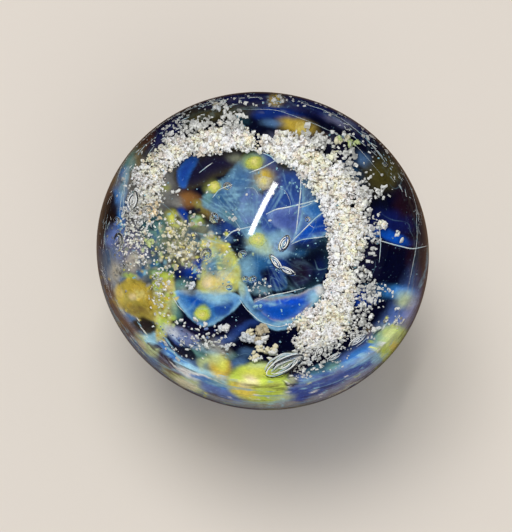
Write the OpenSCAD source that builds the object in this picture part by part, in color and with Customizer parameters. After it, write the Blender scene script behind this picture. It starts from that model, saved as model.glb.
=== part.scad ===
// Lampworked glass marble, about 30 mm across and lying as it came to rest.
// A bowl of cobalt glass fills the lower half of the ball. A C of crushed white
// glass and drops of yellow-green frit lie on the bowl's dished top, and clear
// glass over them makes the ball whole. Every face is shared with the next glass.
// Origin at the ball's middle, +Z up, +X along the ball's longest diameter.

/* [Ball] */
// Longest diameter of the ball, along X
ball_l = 30; // [24:0.5:50]
// Diameter of the ball along Y
ball_w = 28.5; // [24:0.5:50]
// Height of the ball
ball_h = 28.5; // [20:0.5:50]

/* [Cobalt bowl] */
// Height of the bowl's lip above the ball's middle
lip_z = 1.5; // [-2:0.1:3]
// Width of the flat lip round the dish at its narrowest
lip_w = 0.8; // [0.4:0.1:2]
// Depth of the dish below the lip
dish_d = 3.2; // [1.5:0.1:6]

/* [Band of white grains] */
// Mean radius of the C
band_r = 6.1; // [4:0.1:7.5]
// Width of the band
band_w = 2.2; // [1:0.1:3]
// Thickness of the band in its middle
band_t = 1.5; // [0.8:0.1:2.4]
// Height of the band's middle plane above the dish under it
band_lift = 0.3; // [0:0.1:0.6]
// Angle that the C runs through
band_arc = 255; // [90:5:330]
// Direction in which the C is open, anticlockwise from +X
band_gap_at = 252; // [0:1:359]
// Place of the C's middle, to the right of the ball's middle
band_x = -0.9; // [-2:0.1:2]
// Place of the C's middle, behind the ball's middle
band_y = 1.5; // [-2:0.1:2]

/* [Frit spots] */
// Size of every spot, against the radii listed below
spot_scale = 1; // [0.6:0.05:1.2]
// Least gap between a spot on the dish and the band
spot_gap = 0.15; // [0.05:0.05:0.5]

/* [Hidden] */
$fn = 96;

// Spots on the dish inside the C: direction from the C's middle, way in from the band, radius
inner_spots = [
    [247, 0.0, 1.1],
    [198, 0.0, 0.7],
    [144, 0.2, 0.5],
    [ 98, 0.0, 0.6],
    [ 30, 3.8, 0.6]
];
// Spots on the dish outside the C: direction from the C's middle, way out from the band, radius
outer_spots = [
    [228, 0.5, 1.5],
    [246, 0.8, 1.0],
    [ 86, 0.1, 0.9],
    [274, 3.5, 0.8]
];

// Half width of the ball at the lip's height, measured where the ball is narrower
lip_r = min(ball_l, ball_w) / 2 * sqrt(1 - pow(2 * lip_z / ball_h, 2));
dish_edge_r = lip_r - lip_w;
// The dish is part of a sphere that passes through its edge and its floor
dish_r = (pow(dish_edge_r, 2) + pow(dish_d, 2)) / (2 * dish_d);
dish_floor_z = lip_z - dish_d;
dish_centre_z = dish_floor_z + dish_r;
// The band's section is a lens between two arcs
band_arc_r = (pow(band_w, 2) + pow(band_t, 2)) / (4 * band_t);
band_start = band_gap_at + (360 - band_arc) / 2;
band_inner_r = band_r - band_w / 2;
band_outer_r = band_r + band_w / 2;
band_z = dish_z(band_r) + band_lift;
block = 2 * max(ball_l, ball_w, ball_h);

// Height of the dish at a distance from its middle
function dish_z(r) = dish_centre_z - sqrt(pow(dish_r, 2) - pow(r, 2));

module ball() {
    scale([ball_l, ball_w, ball_h])
        sphere(d = 1);
}

// Everything higher than the bowl's lip
module above_lip() {
    translate([-block / 2, -block / 2, lip_z])
        cube(block);
}

module dish() {
    translate([0, 0, dish_centre_z])
        sphere(r = dish_r, $fn = 200);
}

// All that the clear glass and what lies in it may fill
module clear_space() {
    above_lip();
    dish();
}

// Section of the band, a lens between two arcs
module band_section() {
    intersection() {
        translate([0, band_t / 2 - band_arc_r])
            circle(r = band_arc_r);
        translate([0, band_arc_r - band_t / 2])
            circle(r = band_arc_r);
    }
}

// The whole C, level, before the bowl cuts its underside
module band_shape() {
    translate([band_x, band_y, band_z])
        rotate(band_start)
            rotate_extrude(angle = band_arc)
                translate([band_r, 0])
                    band_section();
}

// One drop whose middle lies on the dish, a distance from the C's middle
module dish_drop(direction, distance, r) {
    x = band_x + distance * cos(direction);
    y = band_y + distance * sin(direction);
    translate([x, y, dish_z(norm([x, y]))])
        sphere(r = r);
}

module dish_spot_shapes() {
    for (s = inner_spots)
        dish_drop(s[0], band_inner_r - spot_gap - s[1] - s[2] * spot_scale, s[2] * spot_scale);
    for (s = outer_spots)
        dish_drop(s[0], band_outer_r + spot_gap + s[1] + s[2] * spot_scale, s[2] * spot_scale);
}

module clear_casing() {
    color([0.86, 0.93, 0.97, 0.35])
        difference() {
            intersection() {
                ball();
                clear_space();
            }
            band_shape();
            dish_spot_shapes();
        }
}

module cobalt_bowl() {
    color([0.05, 0.10, 0.42])
        difference() {
            ball();
            clear_space();
        }
}

module grain_band() {
    color([0.93, 0.91, 0.85])
        intersection() {
            band_shape();
            clear_space();
        }
}

module frit_spots() {
    color([0.80, 0.78, 0.22])
        intersection() {
            dish_spot_shapes();
            clear_space();
        }
}

clear_casing();
cobalt_bowl();
grain_band();
frit_spots();
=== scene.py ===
"""Looks of a lampworked glass marble: stained bowl, crushed grains, frit, threads, bubbles, clear dome."""

import math
import random

import bmesh
import bpy
import numpy as np
from mathutils import Matrix, Vector, noise


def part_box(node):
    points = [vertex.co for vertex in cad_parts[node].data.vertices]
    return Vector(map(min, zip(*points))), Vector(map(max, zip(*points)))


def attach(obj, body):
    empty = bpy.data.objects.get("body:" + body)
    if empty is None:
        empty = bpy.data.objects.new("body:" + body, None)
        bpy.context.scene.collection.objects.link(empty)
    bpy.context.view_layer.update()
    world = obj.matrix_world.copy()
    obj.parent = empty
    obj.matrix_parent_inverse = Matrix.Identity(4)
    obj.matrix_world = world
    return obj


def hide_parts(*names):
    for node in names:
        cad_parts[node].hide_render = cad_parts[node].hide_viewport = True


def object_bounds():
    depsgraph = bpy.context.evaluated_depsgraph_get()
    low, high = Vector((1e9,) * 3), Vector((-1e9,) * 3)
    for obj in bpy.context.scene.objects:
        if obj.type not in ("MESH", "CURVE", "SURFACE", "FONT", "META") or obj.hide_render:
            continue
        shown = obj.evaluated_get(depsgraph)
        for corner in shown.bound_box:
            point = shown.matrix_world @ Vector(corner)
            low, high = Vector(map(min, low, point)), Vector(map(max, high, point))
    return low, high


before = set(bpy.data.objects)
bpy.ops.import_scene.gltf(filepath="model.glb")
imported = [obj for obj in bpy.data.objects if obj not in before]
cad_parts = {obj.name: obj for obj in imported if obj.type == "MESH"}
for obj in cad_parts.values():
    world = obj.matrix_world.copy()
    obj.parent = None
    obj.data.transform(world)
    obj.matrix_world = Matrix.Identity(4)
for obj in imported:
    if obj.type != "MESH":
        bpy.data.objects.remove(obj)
CAD_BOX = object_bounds()
BODY = "root"

# ---------------------------------------------------------------- sizes, from the frame

BALL_HALF = np.minimum(-np.array(CAD_BOX[0]), np.array(CAD_BOX[1]))
BALL_R = BALL_HALF[0]
LIP_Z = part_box("cobalt_bowl")[1].z
DISH_FLOOR_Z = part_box("clear_casing")[0].z
LIP_WIDTH = 0.0008
# Clear glass left between the bowl's outside and the ball's surface
SKIN_COVER = 0.00006
BOWL_HALF = BALL_HALF - SKIN_COVER

LIP_R = BALL_HALF[1] * math.sqrt(1 - (LIP_Z / BALL_HALF[2]) ** 2)
DISH_EDGE_R = LIP_R - LIP_WIDTH
DISH_DEPTH = LIP_Z - DISH_FLOOR_Z
DISH_R = (DISH_EDGE_R**2 + DISH_DEPTH**2) / (2 * DISH_DEPTH)
DISH_CENTRE = np.array((0.0, 0.0, DISH_FLOOR_Z + DISH_R))

GLASS_IOR = 1.47
# Vertices closer than this are welded into one
WELD = 1e-7

# ---------------------------------------------------------------- the eye and what the dome shows it

VIEW_AZIMUTH = math.radians(17)
VIEW_ELEVATION = math.radians(60)
EYE_DISTANCE = 0.19

TOWARD_EYE = np.array(
    (
        math.cos(VIEW_ELEVATION) * math.sin(VIEW_AZIMUTH),
        -math.cos(VIEW_ELEVATION) * math.cos(VIEW_AZIMUTH),
        math.sin(VIEW_ELEVATION),
    )
)
RIGHT = np.array((math.cos(VIEW_AZIMUTH), math.sin(VIEW_AZIMUTH), 0.0))
UP = np.cross(TOWARD_EYE, RIGHT)
EYE = TOWARD_EYE * EYE_DISTANCE
# Outline of the ball as the eye sees it, as a quadratic form in metres
OUTLINE = np.linalg.inv(
    np.array([[np.dot(a * BALL_HALF, b * BALL_HALF) for a in (RIGHT, UP)] for b in (RIGHT, UP)])
)
OUTLINE_LIMIT = 0.992
# The outline's height, with 1 for its width
OUTLINE_HEIGHT = 0.955
# Least glass left beyond an inner place, and before it, along a line of sight
GLASS_BEYOND = 0.0008
GLASS_BEFORE = 0.0005


def unit(rows):
    """Rows scaled to a length of 1."""
    return rows / np.linalg.norm(rows, axis=-1, keepdims=True)


def rim_reach(places):
    """How far out places lie, with 1 on the ball's outline."""
    metres = places * BALL_R
    return np.sqrt(np.einsum("ni,ij,nj->n", metres, OUTLINE, metres))


def hold_inside(places):
    """Pull places, in ball radii right and up of the middle, back inside the ball's outline."""
    return places * np.minimum(1, OUTLINE_LIMIT / np.maximum(rim_reach(places), 1e-9))[:, None]


def enter_glass(places):
    """Points where lines of sight meet the ball, and their directions once the glass has bent them."""
    places = hold_inside(np.atleast_2d(np.asarray(places, float)))
    ways = unit((places[:, :1] * RIGHT + places[:, 1:2] * UP) * BALL_R - EYE)
    start, step = EYE / BALL_HALF, ways / BALL_HALF
    a = (step**2).sum(1)
    b = step @ start
    c = start @ start - 1
    reach = (-b - np.sqrt(np.maximum(b * b - a * c, 0))) / a
    points = EYE + ways * reach[:, None]
    normals = unit(points / BALL_HALF**2)
    facing = -(ways * normals).sum(1)
    bend = 1 / GLASS_IOR
    inner = np.sqrt(1 - bend**2 * (1 - facing**2))
    return points, bend * ways + (bend * facing - inner)[:, None] * normals


def on_dish(places, lift=0.0):
    """Points on the dish that show at these places, raised towards the eye by a lift in metres."""
    points, ways = enter_glass(places)
    offset = points - DISH_CENTRE
    b = (offset * ways).sum(1)
    c = (offset**2).sum(1) - DISH_R**2
    reach = -b + np.sqrt(np.maximum(b * b - c, 0))
    start, step = points / BALL_HALF, ways / BALL_HALF
    across = -2 * (start * step).sum(1) / (step**2).sum(1)
    reach = np.minimum(reach, across - GLASS_BEYOND)
    return points + ways * np.maximum(reach - lift, GLASS_BEFORE)[:, None]


def seen_at(targets, steps=40, pace=0.7):
    """Places where points in the glass show, found by closing in on each from a first guess."""
    places = np.stack([targets @ RIGHT, targets @ UP], 1) / BALL_R
    for _ in range(steps):
        points, ways = enter_glass(places)
        along = ((targets - points) * ways).sum(1)
        miss = targets - points - ways * along[:, None]
        places = hold_inside(places + pace * np.stack([miss @ RIGHT, miss @ UP], 1) / BALL_R)
    return places


# ---------------------------------------------------------------- colours


def srgb(red, green, blue):
    """Linear colour from a display colour of 0 to 255."""
    return np.array([(c / 255) ** 2.2 for c in (red, green, blue)])


TONES = {
    "ink": (7, 12, 36), "night": (28, 26, 54), "navy": (18, 30, 84), "royal": (24, 60, 146),
    "indigo": (44, 72, 140), "sapphire": (16, 78, 178), "cobalt": (12, 76, 200),
    "azure": (54, 120, 194), "periwinkle": (84, 112, 176), "violet": (80, 94, 158),
    "lilac": (120, 142, 192), "slate": (82, 116, 158), "steel": (44, 92, 138),
    "ice": (146, 194, 212), "sea": (104, 148, 140), "teal": (58, 100, 112),
    "ash": (150, 148, 140), "lavender": (126, 128, 160), "umber": (84, 56, 42),
    "bark": (34, 24, 20), "wine": (34, 18, 30), "khaki": (124, 104, 56), "rust": (138, 96, 54),
    "olive": (74, 68, 34), "mustard": (182, 166, 66), "moss": (150, 154, 78),
    "sand": (190, 178, 150), "sage": (148, 152, 124), "ochre": (202, 172, 66),
    "gold": (226, 198, 84), "lime": (184, 204, 78), "celery": (196, 210, 144),
    "cream": (232, 224, 190), "butter": (242, 228, 138), "lemon": (230, 230, 96),
    "peach": (238, 214, 172), "frost": (234, 234, 228), "pearl": (216, 220, 222),
}
PALETTE = {name: srgb(*tone) for name, tone in TONES.items()}

# Stains on the dish as the eye sees them, in ball radii: right, up, half width, half height,
# turn in degrees, softness of the edge, strength, colour
DISH_STAINS = [
    (0.00, 0.89, 0.45, 0.07, -2, 0.6, 0.9, "navy"),
    (0.44, 0.81, 0.29, 0.06, -30, 0.6, 0.9, "navy"),
    (-0.06, 0.77, 0.10, 0.14, 0, 0.6, 0.9, "ink"),
    (0.09, 0.83, 0.18, 0.04, -6, 0.5, 0.55, "royal"),
    (-0.14, 0.80, 0.06, 0.05, 0, 0.8, 0.6, "teal"),
    (-0.29, 0.81, 0.27, 0.05, 14, 0.7, 0.85, "olive"),
    (-0.57, 0.71, 0.14, 0.05, 42, 0.6, 0.9, "navy"),
    (-0.70, 0.67, 0.11, 0.03, 50, 0.7, 0.8, "umber"),
    (-0.77, 0.52, 0.05, 0.13, -12, 0.7, 0.9, "khaki"),
    (0.23, 0.68, 0.19, 0.04, -6, 0.8, 0.8, "lavender"),
    (0.46, 0.77, 0.10, 0.035, -25, 0.8, 0.7, "lavender"),
    (0.50, 0.59, 0.16, 0.07, -30, 0.7, 0.9, "night"),
    (0.60, 0.55, 0.08, 0.04, -50, 0.8, 0.8, "slate"),
    (0.54, 0.45, 0.10, 0.05, -40, 0.8, 0.8, "steel"),
    (0.73, 0.47, 0.12, 0.14, -48, 0.6, 0.95, "olive"),
    (0.84, 0.23, 0.08, 0.28, -12, 0.6, 0.95, "wine"),
    (0.75, 0.17, 0.16, 0.08, -10, 0.7, 0.9, "navy"),
    (0.78, 0.08, 0.16, 0.04, -14, 0.5, 0.95, "sapphire"),
    (0.67, 0.09, 0.05, 0.03, -14, 0.7, 0.9, "azure"),
    (0.62, -0.07, 0.12, 0.12, 0, 0.6, 0.9, "night"),
    (0.80, -0.08, 0.14, 0.12, 0, 0.6, 0.95, "ink"),
    (0.93, -0.07, 0.06, 0.22, 6, 0.6, 0.9, "wine"),
    (0.75, -0.24, 0.14, 0.05, 4, 0.7, 0.95, "steel"),
    (0.83, -0.25, 0.10, 0.05, 0, 0.7, 0.95, "azure"),
    (0.85, -0.26, 0.07, 0.04, 10, 0.9, 0.95, "ice"),
    (0.60, -0.28, 0.08, 0.05, 0, 0.6, 0.95, "royal"),
    (0.80, -0.34, 0.13, 0.04, -8, 0.4, 0.97, "ink"),
    (0.84, -0.40, 0.08, 0.04, 10, 0.7, 0.9, "lavender"),
    (0.66, -0.50, 0.06, 0.05, 0, 0.7, 0.8, "khaki"),
    (0.56, -0.45, 0.07, 0.07, 0, 0.7, 0.8, "ink"),
    (-0.94, 0.17, 0.05, 0.32, 6, 0.6, 0.95, "bark"),
    (-0.89, 0.43, 0.03, 0.14, -16, 0.7, 0.9, "umber"),
    (-0.81, 0.52, 0.04, 0.12, -14, 0.7, 0.9, "sea"),
    (-0.84, 0.37, 0.04, 0.14, -8, 0.5, 0.95, "azure"),
    (-0.86, 0.16, 0.04, 0.11, -2, 0.5, 0.95, "azure"),
    (-0.82, 0.40, 0.02, 0.13, -12, 0.8, 0.8, "ice"),
    (-0.90, 0.07, 0.04, 0.08, 4, 0.6, 0.9, "periwinkle"),
    (-0.88, -0.07, 0.04, 0.10, 0, 0.8, 0.8, "lavender"),
    (-0.95, -0.10, 0.04, 0.08, 10, 0.6, 0.9, "olive"),
    (-0.78, 0.01, 0.16, 0.17, 0, 0.8, 0.85, "lavender"),
    (-0.68, 0.37, 0.16, 0.24, -20, 0.8, 0.75, "ash"),
    (-0.76, -0.05, 0.05, 0.025, 0, 0.8, 0.9, "cream"),
    (-0.66, 0.18, 0.07, 0.05, 0, 0.7, 0.9, "teal"),
    (-0.62, 0.09, 0.09, 0.09, 0, 0.8, 0.85, "sea"),
    (-0.74, -0.10, 0.07, 0.10, 20, 0.8, 0.6, "ash"),
    (-0.64, -0.10, 0.10, 0.08, 0, 0.8, 0.8, "teal"),
    (-0.60, 0.38, 0.04, 0.04, 0, 0.8, 0.8, "moss"),
    (-0.44, 0.31, 0.08, 0.05, -8, 0.7, 0.95, "rust"),
    (-0.52, 0.28, 0.06, 0.04, -10, 0.8, 0.6, "ash"),
    (-0.37, 0.27, 0.05, 0.03, -30, 0.8, 0.8, "moss"),
    (-0.47, 0.22, 0.04, 0.05, 28, 0.5, 0.95, "royal"),
    (-0.33, 0.24, 0.09, 0.04, -38, 0.8, 0.85, "khaki"),
    (-0.40, 0.18, 0.04, 0.04, 0, 0.8, 0.85, "lime"),
    (-0.44, 0.09, 0.10, 0.06, -40, 0.8, 0.7, "slate"),
    (-0.38, -0.04, 0.06, 0.05, 0, 0.5, 0.9, "night"),
    (-0.42, -0.10, 0.08, 0.06, 0, 0.6, 0.9, "royal"),
    (-0.51, -0.13, 0.05, 0.05, 0, 0.7, 0.85, "navy"),
    (-0.47, -0.20, 0.07, 0.05, 0, 0.8, 0.8, "sea"),
    (-0.53, 0.17, 0.07, 0.05, -30, 0.8, 0.85, "lemon"),
    (-0.50, 0.04, 0.12, 0.12, 0, 0.8, 0.7, "sage"),
    (-0.53, -0.29, 0.02, 0.10, 0, 0.7, 0.8, "celery"),
    (-0.18, 0.15, 0.09, 0.07, 0, 0.7, 0.9, "indigo"),
    (-0.15, 0.05, 0.06, 0.06, -30, 0.6, 0.9, "ink"),
    (0.14, 0.17, 0.25, 0.18, 0, 0.7, 0.9, "indigo"),
    (-0.04, -0.10, 0.10, 0.10, 0, 0.6, 0.9, "steel"),
    (-0.18, -0.47, 0.11, 0.04, 16, 0.7, 0.9, "night"),
    (-0.11, -0.47, 0.10, 0.03, 22, 0.8, 0.8, "indigo"),
    (-0.35, -0.50, 0.16, 0.06, -20, 0.7, 0.85, "night"),
    (-0.40, -0.61, 0.10, 0.04, -30, 0.8, 0.8, "sea"),
    (-0.18, -0.61, 0.10, 0.06, 0, 0.6, 0.9, "ink"),
    (0.23, -0.56, 0.13, 0.08, 0, 0.7, 0.9, "ink"),
    (-0.27, -0.58, 0.09, 0.05, -20, 0.8, 0.85, "ash"),
]

# Thin films of glass over the stains, as the eye sees them: fill and how much it covers, rim
# and how much it covers, width of the rim, softness of the edge, outline
FILMS = [
    ("night", 0.95, "olive", 0.8, 0.024, 0.012,
     [(-0.52, 0.49), (-0.38, 0.58), (-0.24, 0.61), (-0.11, 0.61), (-0.15, 0.51), (-0.30, 0.44),
      (-0.39, 0.39), (-0.49, 0.40)]),
    ("royal", 0.85, "azure", 0.5, 0.018, 0.012,
     [(-0.50, 0.50), (-0.45, 0.56), (-0.38, 0.56), (-0.43, 0.47), (-0.46, 0.39), (-0.50, 0.42)]),
    ("slate", 0.85, "sea", 0.35, 0.036, 0.012,
     [(-0.36, 0.28), (-0.31, 0.39), (-0.22, 0.45), (-0.14, 0.54), (-0.05, 0.59), (0.06, 0.52),
      (-0.01, 0.40), (0.00, 0.16), (-0.05, 0.07), (-0.14, 0.14), (-0.27, 0.22)]),
    ("indigo", 0.9, "periwinkle", 0.5, 0.030, 0.009,
     [(-0.06, 0.58), (0.06, 0.57), (0.18, 0.50), (0.23, 0.42), (0.22, 0.20), (0.17, 0.05),
      (0.00, 0.14), (0.00, 0.28), (0.02, 0.42)]),
    ("violet", 0.5, "lilac", 0.6, 0.018, 0.012,
     [(-0.13, 0.28), (-0.06, 0.37), (0.01, 0.30), (-0.04, 0.20), (-0.11, 0.19)]),
    ("violet", 0.6, "lilac", 0.8, 0.018, 0.009,
     [(0.03, 0.22), (0.12, 0.26), (0.22, 0.27), (0.20, 0.11), (0.17, 0.05), (0.11, 0.12)]),
    ("periwinkle", 0.4, "ice", 0.8, 0.018, 0.006,
     [(0.23, 0.46), (0.28, 0.41), (0.35, 0.31), (0.27, 0.27), (0.31, 0.20), (0.17, 0.05), (0.23, 0.25)]),
    ("azure", 0.6, "ice", 0.3, 0.012, 0.006,
     [(0.23, 0.26), (0.35, 0.31), (0.39, 0.25), (0.32, 0.20)]),
    ("royal", 0.95, "ice", 0.8, 0.008, 0.005,
     [(0.17, 0.05), (0.30, 0.18), (0.39, 0.25), (0.42, 0.16), (0.38, 0.09), (0.26, 0.07)]),
    ("ink", 0.95, "teal", 0.35, 0.024, 0.009,
     [(0.01, -0.07), (0.12, 0.02), (0.28, 0.04), (0.41, 0.08), (0.40, -0.09), (0.32, -0.21),
      (0.15, -0.23), (0.01, -0.20)]),
    ("wine", 0.6, "violet", 0.2, 0.024, 0.024,
     [(0.17, -0.07), (0.26, -0.07), (0.29, -0.15), (0.19, -0.20)]),
    ("night", 0.9, "azure", 0.5, 0.014, 0.007,
     [(0.05, -0.04), (0.11, -0.13), (0.14, -0.21), (0.06, -0.23), (-0.02, -0.13)]),
    ("azure", 0.6, "ice", 0.8, 0.024, 0.006,
     [(-0.14, -0.19), (-0.12, -0.31), (-0.04, -0.41), (0.07, -0.47), (0.18, -0.44), (0.29, -0.34),
      (0.36, -0.20), (0.22, -0.25), (0.06, -0.26), (-0.05, -0.31), (-0.08, -0.23)]),
    ("sapphire", 0.85, "sand", 0.9, 0.012, 0.005,
     [(-0.05, -0.31), (0.03, -0.28), (0.17, -0.26), (0.35, -0.21), (0.31, -0.30), (0.17, -0.41),
      (0.04, -0.41)]),
    ("sapphire", 0.95, "ice", 0.5, 0.012, 0.009,
     [(-0.04, -0.31), (0.11, -0.31), (0.26, -0.28), (0.21, -0.36), (0.09, -0.40), (-0.02, -0.36)]),
    ("azure", 0.85, "ice", 0.9, 0.018, 0.006,
     [(-0.54, -0.25), (-0.47, -0.37), (-0.35, -0.46), (-0.22, -0.40), (-0.12, -0.31), (-0.20, -0.26),
      (-0.41, -0.24)]),
    ("royal", 0.85, "steel", 0.6, 0.018, 0.012,
     [(-0.28, -0.33), (-0.18, -0.32), (-0.21, -0.39), (-0.28, -0.39)]),
    ("sage", 0.75, "lemon", 0.85, 0.030, 0.024,
     [(-0.37, 0.07), (-0.28, 0.08), (-0.17, -0.02), (-0.13, -0.14), (-0.18, -0.25), (-0.38, -0.24),
      (-0.35, -0.07)]),
    ("sea", 0.85, "slate", 0.6, 0.024, 0.024,
     [(-0.33, -0.04), (-0.24, -0.03), (-0.20, -0.11), (-0.27, -0.15), (-0.32, -0.13)]),
    ("mustard", 0.92, "khaki", 0.6, 0.042, 0.012,
     [(-0.87, -0.22), (-0.79, -0.16), (-0.69, -0.22), (-0.65, -0.33), (-0.62, -0.43), (-0.75, -0.41),
      (-0.85, -0.33)]),
    ("celery", 0.85, "ochre", 0.7, 0.024, 0.018,
     [(-0.66, -0.15), (-0.56, -0.15), (-0.55, -0.29), (-0.55, -0.47), (-0.63, -0.55), (-0.64, -0.36)]),
    ("bark", 0.97, "olive", 0.5, 0.012, 0.012,
     [(-0.78, -0.43), (-0.71, -0.41), (-0.63, -0.47), (-0.68, -0.51), (-0.75, -0.48)]),
]

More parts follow.
